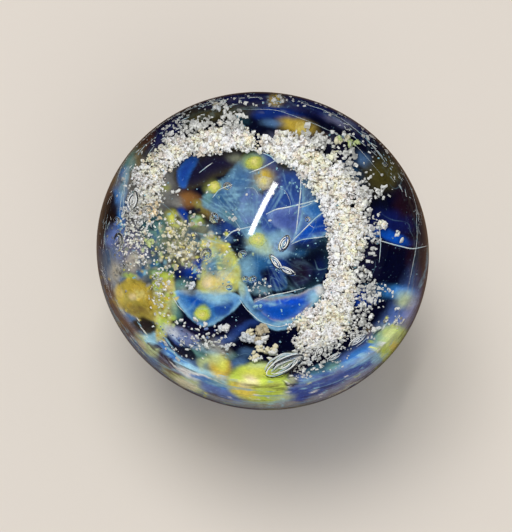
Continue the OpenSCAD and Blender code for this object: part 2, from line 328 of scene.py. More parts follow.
# Stains laid over the films, with a painted bubble and a painted bubble highlight
LATE_STAINS_AND_PAINTED_BUBBLE = [
    (-0.05, 0.54, 0.07, 0.05, 0, 0.9, 0.9, "lime"),
    (0.02, 0.43, 0.08, 0.09, -15, 0.9, 0.85, "khaki"),
    (0.02, 0.44, 0.05, 0.05, 0, 0.9, 0.9, "ochre"),
    (0.14, 0.51, 0.08, 0.05, -15, 0.9, 0.9, "olive"),
    (-0.30, 0.39, 0.05, 0.04, 35, 0.9, 0.85, "moss"),
    (-0.16, 0.56, 0.06, 0.03, -10, 0.9, 0.5, "sage"),
    (-0.88, 0.42, 0.04, 0.05, -10, 0.8, 0.6, "khaki"),
    (-0.29, 0.39, 0.03, 0.025, 0, 0.9, 0.9, "lemon"),
    (-0.32, 0.33, 0.03, 0.06, -30, 0.8, 0.7, "sea"),
    (-0.09, 0.25, 0.07, 0.05, 0, 0.9, 0.4, "ice"),
    (-0.24, 0.33, 0.07, 0.05, -30, 0.9, 0.7, "steel"),
    (-0.14, 0.43, 0.07, 0.05, 0, 0.9, 0.5, "steel"),
    (-0.20, 0.22, 0.08, 0.025, -35, 0.9, 0.5, "sea"),
    (-0.21, 0.07, 0.05, 0.03, 0, 0.8, 0.7, "slate"),
    (0.02, 0.04, 0.11, 0.08, -25, 0.9, 0.9, "ice"),
    (0.01, 0.03, 0.10, 0.05, -30, 0.9, 0.6, "celery"),
    (-0.03, 0.07, 0.05, 0.05, 0, 0.9, 0.9, "celery"),
    (-0.05, 0.12, 0.05, 0.04, 0, 0.9, 0.5, "ice"),
    (0.11, 0.03, 0.07, 0.07, 10, 0.9, 0.85, "lilac"),
    (0.11, -0.02, 0.05, 0.03, 10, 0.9, 0.5, "ice"),
    (0.08, -0.09, 0.07, 0.06, 0, 0.8, 0.7, "royal"),
    (0.27, 0.04, 0.09, 0.03, 5, 0.7, 0.75, "navy"),
    (0.20, -0.02, 0.07, 0.025, 10, 0.9, 0.6, "steel"),
    (0.10, 0.09, 0.07, 0.05, 10, 0.9, 0.6, "ice"),
    (0.00, -0.07, 0.06, 0.05, 0, 0.7, 0.8, "steel"),
    (-0.09, -0.10, 0.05, 0.08, 0, 0.9, 0.6, "ice"),
    (0.17, -0.30, 0.10, 0.025, 4, 0.7, 0.95, "cobalt"),
    (0.06, -0.37, 0.09, 0.04, 0, 0.8, 0.8, "sapphire"),
    (0.12, -0.37, 0.11, 0.04, 14, 0.7, 0.85, "sapphire"),
    (0.12, -0.425, 0.11, 0.018, 12, 0.9, 0.7, "ice"),
    (0.06, -0.28, 0.06, 0.015, 8, 0.8, 0.6, "ash"),
    (-0.01, -0.235, 0.06, 0.03, 8, 0.9, 0.6, "ice"),
    (0.31, -0.27, 0.05, 0.05, 30, 0.9, 0.85, "ice"),
    (0.35, -0.23, 0.03, 0.03, 0, 0.9, 0.8, "frost"),
    (0.30, 0.14, 0.06, 0.03, 30, 0.8, 0.7, "royal"),
    (0.27, 0.12, 0.09, 0.045, 42, 0.8, 0.9, "sapphire"),
    (0.36, -0.10, 0.05, 0.07, 0, 0.9, 0.5, "navy"),
    (0.08, -0.17, 0.04, 0.05, 0, 0.8, 0.9, "royal"),
    (0.05, -0.16, 0.05, 0.06, 0, 0.8, 0.8, "navy"),
    (0.02, -0.14, 0.03, 0.05, 10, 0.8, 0.8, "ink"),
    (-0.29, -0.20, 0.08, 0.04, -8, 0.8, 0.9, "gold"),
    (-0.33, -0.20, 0.04, 0.03, 0, 0.9, 0.9, "peach"),
    (-0.24, 0.01, 0.06, 0.03, -30, 0.9, 0.5, "gold"),
    (-0.17, -0.07, 0.03, 0.07, 20, 0.9, 0.6, "lemon"),
    (-0.21, -0.16, 0.05, 0.06, 0, 0.9, 0.7, "butter"),
    (-0.31, -0.09, 0.045, 0.06, 0, 0.9, 0.7, "slate"),
    (-0.30, -0.01, 0.05, 0.05, 0, 0.9, 0.6, "celery"),
    (-0.33, 0.05, 0.03, 0.04, 30, 0.9, 0.8, "gold"),
    (-0.30, 0.13, 0.05, 0.03, -20, 0.9, 0.6, "slate"),
    (-0.45, -0.02, 0.06, 0.07, 0, 0.9, 0.6, "sand"),
    (-0.37, 0.13, 0.05, 0.05, 0, 0.9, 0.7, "sage"),
    (-0.28, -0.29, 0.11, 0.04, -6, 0.9, 0.9, "ice"),
    (-0.45, -0.24, 0.07, 0.03, -8, 0.9, 0.7, "ash"),
    (-0.81, -0.09, 0.05, 0.05, 0, 0.9, 0.6, "sand"),
    (-0.12, -0.23, 0.03, 0.06, 12, 0.9, 0.6, "celery"),
    (-0.40, -0.31, 0.06, 0.03, -25, 0.6, 0.9, "sapphire"),
    (-0.36, -0.38, 0.07, 0.07, 0, 0.35, 0.9, "steel"),
    (-0.36, -0.38, 0.05, 0.05, 0, 0.5, 0.95, "lime"),
    (-0.78, -0.23, 0.07, 0.04, -15, 0.9, 0.7, "ochre"),
    (-0.86, -0.28, 0.04, 0.07, 10, 0.9, 0.7, "gold"),
    (-0.87, -0.25, 0.03, 0.03, 0, 0.9, 0.5, "peach"),
    (-0.77, -0.28, 0.03, 0.02, -20, 0.9, 0.6, "peach"),
    (-0.73, -0.36, 0.10, 0.04, -20, 0.9, 0.85, "khaki"),
    (-0.81, -0.15, 0.05, 0.02, -10, 0.8, 0.7, "lime"),
    (-0.59, -0.20, 0.05, 0.05, 0, 0.8, 0.7, "ochre"),
    (-0.58, -0.21, 0.03, 0.03, 0, 0.9, 0.5, "peach"),
    (-0.62, -0.33, 0.04, 0.07, 10, 0.9, 0.6, "mustard"),
    (-0.62, -0.14, 0.07, 0.03, -8, 0.8, 0.85, "lime"),
    (-0.59, -0.45, 0.04, 0.06, 0, 0.8, 0.8, "lime"),
    (-0.89, -0.13, 0.04, 0.08, 0, 0.8, 0.8, "sand"),
    (-0.87, -0.24, 0.02, 0.05, 0, 0.8, 0.8, "ochre"),
    (-0.90, -0.29, 0.12, 0.025, -68, 0.7, 0.9, "umber"),
    (-0.82, -0.45, 0.10, 0.04, -52, 0.6, 0.85, "umber"),
    (0.21, 0.76, 0.12, 0.05, -8, 0.7, 0.9, "ochre"),
    (0.24, 0.74, 0.06, 0.025, -8, 0.8, 0.8, "gold"),
    (0.33, 0.71, 0.07, 0.025, -20, 0.8, 0.6, "khaki"),
    (0.09, 0.91, 0.05, 0.04, 0, 0.8, 0.9, "ochre"),
    (0.06, 0.77, 0.08, 0.025, -4, 0.8, 0.8, "slate"),
    (-0.15, -0.67, 0.07, 0.04, 20, 0.7, 0.8, "slate"),
    (-0.03, -0.79, 0.20, 0.125, -4, 0.22, 0.97, "lime"),
    (-0.04, -0.72, 0.11, 0.045, 4, 0.8, 0.85, "lemon"),
    (-0.02, -0.68, 0.08, 0.025, 2, 0.8, 0.8, "celery"),
    (-0.13, -0.83, 0.10, 0.05, -25, 0.6, 0.85, "gold"),
    (0.05, -0.87, 0.09, 0.05, 6, 0.5, 0.9, "lime"),
    (0.13, -0.88, 0.07, 0.025, 8, 0.8, 0.7, "celery"),
    (0.08, -0.80, 0.09, 0.015, 8, 0.6, 0.8, "moss"),
    (-0.07, -0.77, 0.06, 0.035, -20, 0.9, 0.9, "peach"),
    (-0.12, -0.80, 0.05, 0.025, -20, 0.9, 0.6, "cream"),
    # Painted highlight of the big bubble on the bowl behind it, then a small bubble hidden by the lip,
    # painted: its dark ring is painted shade and its frost spots are painted highlights
    (0.10, -0.69, 0.06, 0.03, 28, 0.8, 0.75, "pearl"),
    (0.18, -0.79, 0.045, 0.032, 20, 0.2, 0.9, "ink"),
    (0.18, -0.785, 0.036, 0.024, 20, 0.3, 0.9, "sage"),
    (0.19, -0.78, 0.018, 0.010, 20, 0.5, 0.95, "frost"),
    (0.155, -0.795, 0.008, 0.014, 20, 0.5, 0.9, "frost"),
    (-0.26, -0.70, 0.07, 0.08, 0, 0.5, 0.95, "ochre"),
    (-0.25, -0.68, 0.04, 0.05, 0, 0.8, 0.9, "lemon"),
    (-0.29, -0.65, 0.05, 0.04, 0, 0.9, 0.85, "celery"),
    (-0.33, -0.60, 0.08, 0.03, -20, 0.9, 0.6, "ice"),
    (-0.20, -0.63, 0.05, 0.025, 20, 0.9, 0.5, "sea"),
    (-0.50, -0.52, 0.11, 0.04, -30, 0.8, 0.7, "lilac"),
    (-0.53, -0.50, 0.07, 0.03, -30, 0.9, 0.75, "pearl"),
    (-0.30, -0.59, 0.09, 0.03, -15, 0.9, 0.7, "ash"),
    (-0.22, -0.53, 0.07, 0.03, 20, 0.9, 0.6, "periwinkle"),
    (-0.52, -0.37, 0.03, 0.07, 25, 0.8, 0.6, "sea"),
    (0.86, -0.30, 0.06, 0.05, 10, 0.8, 0.7, "celery"),
    (0.12, -0.68, 0.09, 0.05, 28, 0.6, 0.6, "celery"),
    (-0.09, -0.60, 0.06, 0.03, 0, 0.9, 0.6, "slate"),
    (0.78, -0.55, 0.11, 0.11, -30, 0.3, 0.97, "lime"),
    (0.78, -0.52, 0.10, 0.08, -30, 0.7, 0.75, "celery"),
    (0.69, -0.52, 0.04, 0.06, -10, 0.6, 0.7, "sea"),
    (0.79, -0.57, 0.04, 0.04, -20, 0.6, 0.8, "gold"),
    (0.73, -0.63, 0.04, 0.03, -40, 0.4, 0.8, "celery"),
    (0.89, -0.35, 0.04, 0.10, -22, 0.8, 0.8, "lavender"),
]

# Stains near the rim as the eye sees them: direction in degrees anticlockwise from the right,
# distance out with 1 on the outline, half width in degrees, half height, turn, softness,
# strength, colour
# Rows that are thin pale lines along the lower rim and right at the outline are painted reflections, and
# the thin ice line at -45 degrees is a painted highlight on the lip
RIM_STAINS_AND_REFLECTIONS = [
    (-125, 0.92, 60, 0.12, 0, 0.4, 0.95, "slate"),
    (-60, 0.92, 50, 0.12, 0, 0.4, 0.95, "periwinkle"),
    (-92, 0.975, 30, 0.03, 0, 0.8, 0.85, "ash"),
    (-62, 0.975, 26, 0.03, 0, 0.8, 0.8, "ash"),
    (-130, 0.725, 9, 0.045, 0, 0.3, 0.85, "lavender"),
    (-129, 0.80, 9, 0.042, 0, 0.2, 0.95, "ink"),
    (-133, 0.78, 4, 0.02, 0, 0.6, 0.7, "indigo"),
    (-115, 0.81, 5, 0.045, 0, 0.4, 0.8, "celery"),
    (-115, 0.82, 2.5, 0.03, 0, 0.6, 0.6, "steel"),
    (-122, 0.89, 7, 0.045, 0, 0.5, 0.85, "ice"),
    (-126, 0.955, 6, 0.025, 0, 0.5, 0.7, "celery"),
    (-120, 0.895, 6, 0.035, 0, 0.6, 0.9, "frost"),
    (-133, 0.905, 8, 0.022, 0, 0.3, 0.9, "night"),
    (-130, 0.862, 10, 0.018, 0, 0.3, 0.9, "azure"),
    (-132, 0.850, 9, 0.007, 0, 0.4, 0.9, "ice"),
    (-126, 0.876, 7, 0.006, 0, 0.4, 0.9, "ice"),
    (-128, 0.94, 7.5, 0.028, 0, 0.4, 0.75, "umber"),
    (-129, 0.925, 6, 0.006, 0, 0.4, 0.7, "lavender"),
    (-141, 0.94, 6.5, 0.04, 0, 0.3, 0.8, "celery"),
    (-142, 0.878, 4, 0.035, 0, 0.3, 0.9, "ice"),
    (-140.5, 0.925, 4, 0.008, 0, 0.3, 0.8, "night"),
    (-136, 0.825, 5, 0.006, 0, 0.4, 0.8, "ice"),
    (-134, 0.775, 6, 0.005, 0, 0.4, 0.7, "ice"),
    (-124, 0.905, 7, 0.006, 0, 0.4, 0.8, "frost"),
    (-115, 0.867, 11, 0.02, 0, 0.3, 0.9, "ice"),
    (-113, 0.880, 8, 0.006, 0, 0.4, 0.8, "frost"),
    (-112, 0.90, 9, 0.018, 0, 0.3, 0.9, "azure"),
    (-118.5, 0.955, 6.5, 0.032, 0, 0.3, 0.85, "celery"),
    (-106, 0.94, 11, 0.032, 0, 0.3, 0.85, "periwinkle"),
    (-76, 0.925, 5, 0.045, 0, 0.3, 0.9, "royal"),
    (-60, 0.91, 17, 0.055, 0, 0.3, 0.85, "indigo"),
    (-56, 0.97, 17, 0.028, 0, 0.4, 0.6, "lavender"),
    (-62.5, 0.82, 8.5, 0.035, 0, 0.3, 0.85, "teal"),
    (-57.5, 0.845, 3.5, 0.028, 0, 0.5, 0.8, "sea"),
    (-47.5, 0.875, 9, 0.045, 0, 0.3, 0.95, "azure"),
    (-44, 0.89, 6, 0.022, 0, 0.6, 0.7, "sapphire"),
    (-45, 0.875, 4.5, 0.009, 0, 0.3, 0.9, "ice"),
    (-58, 0.99, 10, 0.008, 0, 0.5, 0.8, "cream"),
    (-46, 0.90, 5, 0.022, 0, 0.6, 0.55, "ice"),
    (-43, 0.94, 3, 0.03, 0, 0.5, 0.7, "ice"),
    (-28, 0.97, 4, 0.02, 0, 0.5, 0.7, "ash"),
    (-120, 0.965, 5, 0.025, 0, 0.5, 0.9, "cream"),
    (-158, 0.95, 14, 0.03, 0, 0.7, 0.6, "khaki"),
    (-152, 0.935, 8, 0.01, 0, 0.7, 0.7, "sand"),
    (-143, 0.965, 3.5, 0.02, 0, 0.5, 0.8, "sand"),
    (-109.5, 0.885, 4, 0.02, 0, 0.5, 0.6, "sea"),
]

# The C of grains, about its own middle: direction in degrees, inner and outer edge in ball
# radii, and how densely the grains lie
BAND_MIDDLE = np.array((-0.075, 0.024))
BAND_EDGES = np.array(
    [
        (-66, 0.53, 0.73, 0.35),
        (-58, 0.515, 0.73, 0.6),
        (-47, 0.53, 0.76, 0.9),
        (-38, 0.54, 0.76, 1.0),
        (-27, 0.52, 0.75, 1.0),
        (-18, 0.505, 0.66, 1.0),
        (-5, 0.495, 0.645, 1.0),
        (3, 0.495, 0.66, 1.0),
        (9, 0.495, 0.78, 1.0),
        (20, 0.50, 0.72, 1.0),
        (40, 0.515, 0.70, 1.0),
        (50, 0.53, 0.72, 1.0),
        (60, 0.56, 0.71, 1.0),
        (73, 0.575, 0.73, 1.0),
        (79, 0.58, 0.67, 1.0),
        (82, 0.58, 0.64, 1.0),
        (89, 0.585, 0.64, 1.0),
        (95, 0.59, 0.72, 1.0),
        (104, 0.60, 0.75, 1.0),
        (115, 0.635, 0.75, 1.0),
        (125, 0.665, 0.76, 0.85),
        (134, 0.69, 0.79, 0.68),
        (143, 0.66, 0.79, 0.42),
        (153, 0.60, 0.78, 0.24),
        (165, 0.60, 0.78, 0.10),
        (190, 0.60, 0.78, 0.04),
    ]
)

# Small soft stains strewn over the dish: right, up, width and height they spread over, count,
# size, colours
FLECKS = [
    (-0.49, 0.06, 0.16, 0.18, 70, 0.020, ("cream", "sage", "sage", "celery", "night")),
    (-0.66, -0.04, 0.16, 0.26, 60, 0.016, ("ash", "ice", "sage", "steel")),
    (-0.27, -0.06, 0.16, 0.22, 36, 0.013, ("lemon", "celery", "butter", "steel")),
    (-0.79, -0.30, 0.14, 0.16, 40, 0.016, ("ochre", "gold", "khaki", "mustard")),
    (-0.59, -0.30, 0.07, 0.28, 70, 0.014, ("lime", "gold", "khaki", "moss", "ochre", "celery")),
    (-0.06, -0.80, 0.20, 0.06, 22, 0.014, ("lemon", "gold", "celery", "lime")),
    (0.76, -0.54, 0.12, 0.14, 24, 0.016, ("lemon", "celery", "lime")),
]

# Stains on the bowl's outside: direction from +X and height above the equator in degrees, half
# width and half height in degrees, turn, softness, strength, colour
SKIN_STAINS = [
    (-60, 2, 34, 8, 0, 0.60, 0.90, "azure"),
    (-52, -9, 30, 8, 4, 0.80, 0.80, "periwinkle"),
    (-40, -18, 40, 9, 0, 0.80, 0.70, "lavender"),
    (-68, 3, 12, 4, 0, 0.70, 0.90, "sea"),
    (-120, 0, 30, 9, -4, 0.70, 0.80, "azure"),
    (-130, -4, 30, 3, -6, 0.70, 0.90, "ice"),
    (-110, -14, 40, 8, 0, 0.80, 0.70, "lavender"),
    (-86, -2, 11, 10, 0, 0.40, 0.97, "lemon"),
    (-78, -8, 10, 8, -10, 0.60, 0.95, "lime"),
    (-98, -9, 12, 5, 10, 0.70, 0.90, "cream"),
    (-24, -4, 11, 10, 20, 0.50, 0.95, "lime"),
    (-20, -9, 6, 6, 0, 0.70, 0.95, "lemon"),
]

# Random streaks and spots on the bowl's outside: the streaks' colours, and how many of both
SWIRL_SHADES = ("azure", "periwinkle", "lavender", "indigo", "teal", "royal", "steel", "night", "slate")
SWIRLS = 110
SPOTS = 26
# Painted glints: dashes painted along the lower rim
RIM_GLINT_DASHES = 60
# Hair-fine wisps: their middle and how far from it they reach, in ball radii
WISP_MIDDLE = np.array((-0.03, 0.08))
WISP_REACH = 0.42
# Where the painted reflections along the rim start and where they are full, with 1 on the outline
RIM_REFLECTIONS = (0.84, 0.93)
# Where the bowl's own streaks and painted light start and where they are full, with 1 on its outside
SKIN_STREAKS = (0.86, 0.97)
# Painted light: the outside is painted this much brighter, because it gets less light
SKIN_PAINTED_LIGHT = 0.35
# Where the outside faces the eye less than this, what the eye sees fades into its own stains
GRAZING = 0.2


def smooth_step(low, high, values):
    """Ease from 0 at low to 1 at high."""
    t = np.clip((values - low) / (high - low), 0, 1)
    return t * t * (3 - 2 * t)


def lay_stains(colours, places, stains):
    """Lay soft oval stains over the colours at these places, in the order of the list."""
    for right, up, wide, high, turn, soft, strength, name in stains:
        c, s = math.cos(math.radians(turn)), math.sin(math.radians(turn))
        dx, dy = places[:, 0] - right, places[:, 1] - up
        reach = np.hypot((c * dx + s * dy) / wide, (c * dy - s * dx) / high)
        cover = strength * (1 - smooth_step(1 - soft, 1 + soft * 0.5, reach))
        colours += (PALETTE[name] - colours) * cover[:, None]


def round_off(corners, steps=8):
    """A closed curve through these corners."""
    points = np.array(corners, float)
    before, after, far = (np.roll(points, k, axis=0) for k in (1, -1, -2))
    curve = []
    for t in np.arange(steps) / steps:
        curve.append(
            points
            + 0.5 * t * (after - before)
            + t * t * (before - 2.5 * points + 2 * after - 0.5 * far)
            + 0.5 * t**3 * (3 * points - before - 3 * after + far)
        )
    return np.stack(curve, 1).reshape(-1, 2)


def depth_inside(places, loop):
    """Distance of places from a closed curve, positive inside it."""
    ends = np.roll(loop, -1, axis=0)
    nearest = np.full(len(places), np.inf)
    inside = np.zeros(len(places), bool)
    for a, b in zip(loop, ends, strict=True):
        side = b - a
        along = np.clip((places - a) @ side / (side @ side), 0, 1)
        nearest = np.minimum(nearest, np.linalg.norm(places - a - along[:, None] * side, axis=1))
        spans = (a[1] > places[:, 1]) != (b[1] > places[:, 1])
        rise = np.where(spans, (places[:, 1] - a[1]) / (side[1] or 1), 0)
        inside ^= spans & (places[:, 0] < a[0] + rise * side[0])
    return np.where(inside, nearest, -nearest)


def lay_films(colours, places, films):
    """Lay thin films over the colours at these places: a sheer body inside a brighter rim."""
    for fill, cover, rim, rim_cover, rim_width, soft, outline in films:
        loop = round_off(outline)
        low, high = loop.min(0) - 0.05, loop.max(0) + 0.05
        near = ((places > low) & (places < high)).all(1)
        depth = depth_inside(places[near], loop)
        body = smooth_step(-soft, soft, depth)
        patch = colours[near]
        patch += (PALETTE[fill] - patch) * (cover * body)[:, None]
        edge = rim_cover * body * np.exp(-np.maximum(depth, 0) / rim_width)
        patch += (PALETTE[rim] - patch) * edge[:, None]
        colours[near] = patch


def field(places, wide, high, seed):
    """Smooth random values, about -1 to 1, whose grain is this wide and high."""
    return np.array([noise.noise(Vector((x / wide, y / high, seed))) for x, y in places])


def stir(places, amounts, seed):
    """Shift places by smooth random amounts, so that edges laid on them wander."""
    moved = places.copy()
    for size, amount in amounts:
        for k in (0, 1):
            moved[:, k] += amount * field(places, size, size, seed + 7.3 * k)
    return moved


def lay_wisps(colours, places, wide, high, thin, strength, name, seed):
    """Lay patchy thin lines that run the long way of the grain."""
    line = np.exp(-((field(places, wide, high, seed) / thin) ** 2))
    patchy = smooth_step(-0.2, 0.4, field(places, wide * 1.5, high * 3, seed + 3.1))
    light = 0.15 + 0.85 * smooth_step(0.01, 0.12, colours.mean(1))
    colours += (PALETTE[name] - colours) * (strength * line * patchy * light)[:, None]


# ---------------------------------------------------------------- mesh helpers


def place_in_scene(name, data):
    """A new object in the scene, of a mesh, a curve, a lamp or a camera."""
    thing = bpy.data.objects.new(name, data)
    bpy.context.scene.collection.objects.link(thing)
    return thing


def to_mesh(bm, name):
    """Turn a bmesh into a mesh."""
    mesh = bpy.data.meshes.new(name)
    bm.to_mesh(mesh)
    bm.free()
    return mesh


def to_piece(bm, name, material, smooth=True):
    """Turn a bmesh into a named object with one material, riding on the one body."""
    for face in bm.faces:
        face.smooth = smooth
    piece = place_in_scene(name, to_mesh(bm, name))
    piece.data.materials.append(material)
    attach(piece, BODY)
    return piece


def round_shell(spokes, rings, shape):
    """A closed shell: shape gives the point at an angle round the ball and a share of the way down."""
    bm = bmesh.new()
    bmesh.ops.create_grid(bm, x_segments=spokes, y_segments=rings, size=1)
    for vert in bm.verts:
        vert.co = shape(vert.co.x * math.pi, (vert.co.y + 1) / 2)
    bmesh.ops.remove_doubles(bm, verts=bm.verts, dist=WELD)
    bmesh.ops.recalc_face_normals(bm, faces=bm.faces)
    return bm


def paint(piece, colours, alpha=None):
    """Write a colour for each vertex, under the attribute that the materials read."""
    layer = piece.data.color_attributes.new("stain", "FLOAT_COLOR", "POINT")
    rows = np.ones((len(colours), 4))
    rows[:, :3] = np.clip(colours, 0, 1)
    if alpha is not None:
        rows[:, 3] = alpha
    layer.data.foreach_set("color", rows.ravel())


# ---------------------------------------------------------------- materials

# Depth of the surface's unevenness in metres
RELIEF_DEPTH = 0.0001
# Heights of the fine mottle from which a speck of dust starts, and at which it is full
SPECKS = (0.66, 0.76)


def new_material(name):
    """An empty node material and its node tree."""
    material = bpy.data.materials.new(name)
    material.use_nodes = True
    material.node_tree.nodes.clear()
    return material, material.node_tree


def feed(tree, socket, value):
    """Give an input a plain value, or link another node's output to it."""
    if isinstance(value, bpy.types.NodeSocket):
        tree.links.new(value, socket)
    else:
        socket.default_value = value


def add(tree, kind, *inputs, **settings):
    """A node: inputs in their order, and settings and inputs by name, an underscore for a space."""
    node = tree.nodes.new(kind)
    for key, value in settings.items():
        if hasattr(node, key):
            setattr(node, key, value)
        else:
            feed(tree, node.inputs[key.replace("_", " ")], value)
    for socket, value in zip(node.inputs, inputs, strict=False):
        feed(tree, socket, value)
    return node


def reckon(tree, operation, *values):
    """Result of a sum on plain values and sockets."""
    return add(tree, "ShaderNodeMath", *values, operation=operation).outputs[0]


def ranged(tree, value, first, last, low, high):
    """A value from first to last, as a value from low to high."""
    ends = {"From_Min": first, "From_Max": last, "To_Min": low, "To_Max": high}
    return add(tree, "ShaderNodeMapRange", Value=value, **ends).outputs[0]


def tinted(tree, colour, name, share):
    """A colour, turned towards a named one by a share."""
    named = (*PALETTE[name], 1)
    return add(tree, "ShaderNodeMix", data_type="RGBA", Factor=share, A=colour, B=named).outputs["Result"]


def scaled(tree, colour, factor):
    """A colour, brighter or darker by a factor."""
    return add(tree, "ShaderNodeVectorMath", colour, operation="SCALE", Scale=factor).outputs[0]


def on_piece(tree):
    """Coordinates of the piece itself."""
    return tree.nodes.new("ShaderNodeTexCoord").outputs["Object"]


def noise_on(tree, place, size, detail, **settings):
    """Cloudy noise at a place."""
    cloud = add(tree, "ShaderNodeTexNoise", Vector=place, Scale=size, Detail=detail, **settings)
    return cloud.outputs["Fac"]


def show(tree, shader):
    """Make a shader the surface of its material."""
    add(tree, "ShaderNodeOutputMaterial", Surface=shader.outputs[0])


def mottle_group():
    """Node group: unevenness of glass, as a factor round 1 and a height, from a size and an amount."""
    group = bpy.data.node_groups.new("glass_mottle", "ShaderNodeTree")
    for name, value in (("Size", 900.0), ("Amount", 0.3), ("Detail", 6.0)):
        socket = group.interface.new_socket(name, in_out="INPUT", socket_type="NodeSocketFloat")
        socket.default_value = value
    for name in ("Factor", "Height"):
        group.interface.new_socket(name, in_out="OUTPUT", socket_type="NodeSocketFloat")
    given = group.nodes.new("NodeGroupInput").outputs
    look = {"Roughness": 0.62, "Distortion": 0.6}
    cloud = noise_on(group, on_piece(group), given["Size"], given["Detail"], **look)
    spread = reckon(group, "MULTIPLY", reckon(group, "SUBTRACT", cloud, 0.5), given["Amount"])
    add(group, "NodeGroupOutput", Factor=reckon(group, "ADD", spread, 1.0), Height=cloud)
    return group


MOTTLE = mottle_group()


def place_mottle(tree, size, amount, detail=6.0):
    """Outputs of one use of the mottle group."""
    node = tree.nodes.new("ShaderNodeGroup")
    node.node_tree = MOTTLE
    for name, value in (("Size", size), ("Amount", amount), ("Detail", detail)):
        node.inputs[name].default_value = value
    return node.outputs


def relief(tree, height, strength):
    """Normals of a surface that is uneven by a height."""
    bump = add(tree, "ShaderNodeBump", Height=height, Strength=strength, Distance=RELIEF_DEPTH)
    return bump.outputs["Normal"]


def add_streaks(tree, colour, mask):
    """Fine light and dark streaks that run round the ball, where the mask is 1."""
    flat = add(tree, "ShaderNodeMapping", Vector=on_piece(tree), Scale=(1, 1, 7))
    flow = noise_on(tree, flat.outputs["Vector"], 260.0, 5.0, Roughness=0.6, Distortion=0.5)
    for low, high, strength, name in ((0.44, 0.38, 0.5, "ink"), (0.56, 0.62, 0.6, "ice")):
        line = ranged(tree, flow, low, high, 0.0, strength)
        colour = tinted(tree, colour, name, reckon(tree, "MULTIPLY", line, mask))
    return colour


def add_hairs(tree, colour, strength):
    """Patchy light hairs that wander over the colour."""
    place = on_piece(tree)
    cloud = noise_on(tree, place, 260.0, 1.0, Roughness=0.4, Distortion=0.8)
    away = reckon(tree, "ABSOLUTE", reckon(tree, "SUBTRACT", cloud, 0.5))
    hair = ranged(tree, away, 0.006, 0.0, 0.0, strength)
    patchy = ranged(tree, noise_on(tree, place, 240.0, 2.0), 0.46, 0.62, 0.0, 1.0)
    return tinted(tree, colour, "ice", reckon(tree, "MULTIPLY", hair, patchy))


def painted_glass(
    name, size, amount, bump, roughness, see_through=False, gloss=0.1, dust=0.0, streaked=False
):
    """Opaque or veil-like glass whose colour was painted on the mesh, with uneven tone and surface."""
    material, tree = new_material(name)
    stain = add(tree, "ShaderNodeAttribute", attribute_name="stain").outputs
    mottle = place_mottle(tree, size, amount)
    fine = place_mottle(tree, size * 6, amount * 0.8, detail=3.0)
    colour = stain["Color"]
    if streaked:
        colour = add_hairs(tree, add_streaks(tree, colour, stain["Alpha"]), 0.4)
    colour = scaled(tree, scaled(tree, colour, mottle["Factor"]), fine["Factor"])
    specks = ranged(tree, fine["Height"], *SPECKS, 0.0, dust)
    shader = add(
        tree,
        "ShaderNodeBsdfPrincipled",
        Base_Color=tinted(tree, colour, "ice", specks),
        Roughness=ranged(tree, mottle["Height"], 0.0, 1.0, roughness, roughness + 0.2),
        Specular_IOR_Level=gloss,
        Normal=relief(tree, mottle["Height"], bump),
    )
    if see_through:
        feed(tree, shader.inputs["Alpha"], stain["Alpha"])
    show(tree, shader)
    return material


def plain_glass(name, light, dark, painted_glow=0.0):
    """Cloudy glass of two tones, for threads; one that stands for a highlight is given a painted glow."""
    material, tree = new_material(name)
    tones = add(tree, "ShaderNodeValToRGB", place_mottle(tree, 2000.0, 0.0)["Height"])
    for step, position, tone in zip(tones.color_ramp.elements, (0.35, 0.6), (dark, light), strict=True):
        step.position = position
        step.color = (*PALETTE[tone], 1)
    shader = add(
        tree,
        "ShaderNodeBsdfPrincipled",
        Base_Color=tones.outputs["Color"],
        Roughness=0.4,
        # Painted glow, for threads that stand for highlights
        Emission_Color=(1, 1, 0.94, 1),
        Emission_Strength=painted_glow,
    )
    show(tree, shader)
    return material


def let_lamps_through(tree, shader):
    """Show a glass shader to the eye, but let light straight through to what lies inside."""
    path = tree.nodes.new("ShaderNodeLightPath").outputs
    either = reckon(tree, "MAXIMUM", path["Is Shadow Ray"], path["Is Diffuse Ray"])
    clear = tree.nodes.new("ShaderNodeBsdfTransparent")
    show(tree, add(tree, "ShaderNodeMixShader", either, shader.outputs[0], clear.outputs[0]))


def casing_glass():
    """Clear glass with a fire-polished skin that mirrors the lamps."""
    material, tree = new_material("clear_glass")
    ripple = place_mottle(tree, 60.0, 0.0, detail=0.0)
    shader = add(
        tree,
        "ShaderNodeBsdfPrincipled",
        Base_Color=(1, 1, 1, 1),
        Roughness=0.0,
        IOR=GLASS_IOR,
        Transmission_Weight=1,
        Specular_Tint=(0, 0, 0, 1),
        Coat_Weight=1,
        Coat_IOR=2.2,
        Coat_Roughness=0.03,
        Normal=relief(tree, ripple["Height"], 0.05),
    )
    let_lamps_through(tree, shader)
    return material


def bubble_glass():
    """Air inside glass: light bends the other way as it goes in."""
    material, tree = new_material("air_bubble")
    let_lamps_through(tree, add(tree, "ShaderNodeBsdfGlass", Roughness=0.0, IOR=1 / GLASS_IOR))
    return material


# ---------------------------------------------------------------- the bowl

DISH_RINGS = 140
SKIN_RINGS = 64
BOWL_SPOKES = 480
# The outside's rings crowd towards the lip by this power
CROWDING = 1.6


def round_axis(half, level, around, height):
    """A point of a ball of these half sizes: how far out it is, its direction and its height."""
    return half[0] * level * math.cos(around), half[1] * level * math.sin(around), half[2] * height


